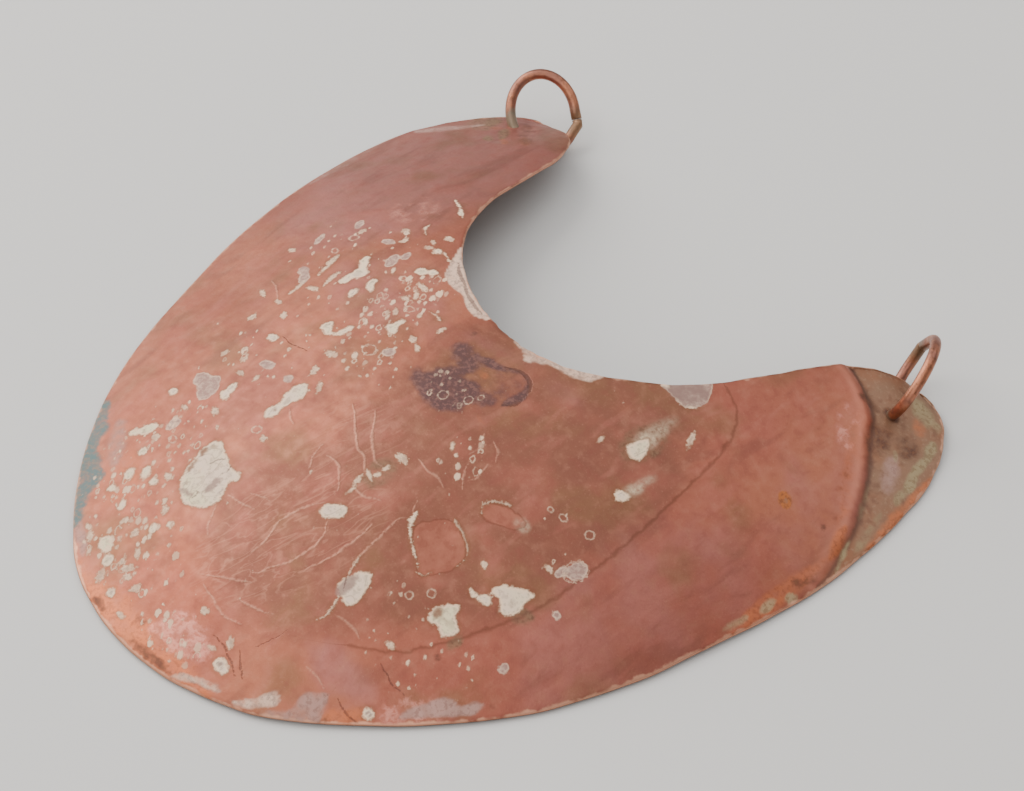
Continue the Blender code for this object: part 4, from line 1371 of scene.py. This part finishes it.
# Azimuths are from the view's right, going away from it, and sizes are in metres.
Light = namedtuple("Light", "name azimuth elevation distance size power colour")
LIGHTS = named(Light,
    ("key", 142, 36, 1.0, 1.0, 11.5, (1.0, 0.97, 0.93)),
    ("top", 180, 78, 1.1, 1.1, 4.6, (1.0, 0.97, 0.94)),
    ("fill", 40, 50, 1.2, 0.9, 3.0, (0.98, 0.98, 1.0)),
    ("low", -110, 40, 1.1, 0.9, 3.6, (1.0, 0.97, 0.94)),
)


def eye_place():
    """The camera's place on the design's axes, in millimetres."""
    heading = Matrix.Rotation(CAMERA_HEADING, 4, "Z")
    aim = heading @ Vector((*CAMERA_AIM, 0))
    look = heading @ Vector((0, math.cos(CAMERA_ELEVATION), -math.sin(CAMERA_ELEVATION)))
    return np.array(aim - look * CAMERA_DISTANCE)


def build_camera(shift):
    data = bpy.data.cameras.new("camera")
    data.lens = CAMERA_LENS
    data.sensor_width = SENSOR_WIDTH
    camera = bpy.data.objects.new("camera", data)
    bpy.context.scene.collection.objects.link(camera)
    camera.location = Vector(eye_place()) * MM + shift
    camera.rotation_euler = (math.pi / 2 - CAMERA_ELEVATION, 0, CAMERA_HEADING)
    bpy.context.scene.camera = camera


def build_floor():
    corners = [(x * FLOOR_HALF_WIDTH, y * FLOOR_HALF_WIDTH, 0)
               for x, y in ((-1, -1), (1, -1), (1, 1), (-1, 1))]
    floor = mesh_object("floor", corners, [(0, 1, 2, 3)])
    material = bpy.data.materials.new("pale_floor")
    material.use_nodes = True
    shader = material.node_tree.nodes["Principled BSDF"]
    shader.inputs["Base Color"].default_value = FLOOR_COLOUR
    shader.inputs["Roughness"].default_value = FLOOR_ROUGHNESS
    floor.data.materials.append(material)


def build_lights():
    world = bpy.data.worlds.new("studio")
    world.use_nodes = True
    background = world.node_tree.nodes["Background"]
    background.inputs["Color"].default_value = WORLD_COLOUR
    background.inputs["Strength"].default_value = WORLD_STRENGTH
    bpy.context.scene.world = world
    for light in LIGHTS:
        data = bpy.data.lights.new(light.name, "AREA")
        data.size = light.size
        data.energy = light.power
        data.color = light.colour
        lamp = bpy.data.objects.new(light.name, data)
        turn, rise = math.radians(light.azimuth), math.radians(light.elevation)
        way = Vector((math.cos(rise) * math.cos(turn), math.cos(rise) * math.sin(turn),
                      math.sin(rise)))
        way = Matrix.Rotation(CAMERA_HEADING, 3, "Z") @ way
        lamp.location = way * light.distance
        lamp.rotation_euler = way.to_track_quat("Z", "Y").to_euler()
        bpy.context.scene.collection.objects.link(lamp)


def main():
    plate = build_plate()
    punch_holes(plate)
    store_marks(plate)
    rings = [build_ring(row) for row in RINGS]
    pieces = [plate, *rings]
    shift = seat(pieces, rings)
    for piece in pieces:
        piece.data.shade_smooth()
    plate.data.materials.append(copper_sheet())
    wire = copper_wire()
    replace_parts(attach(plate, "plate"), "gorget_plate")
    for row, ring in zip(RINGS, rings):
        ring.data.materials.append(wire)
        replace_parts(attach(ring, row.body), row.name)
    build_camera(shift)
    build_floor()
    build_lights()


main()
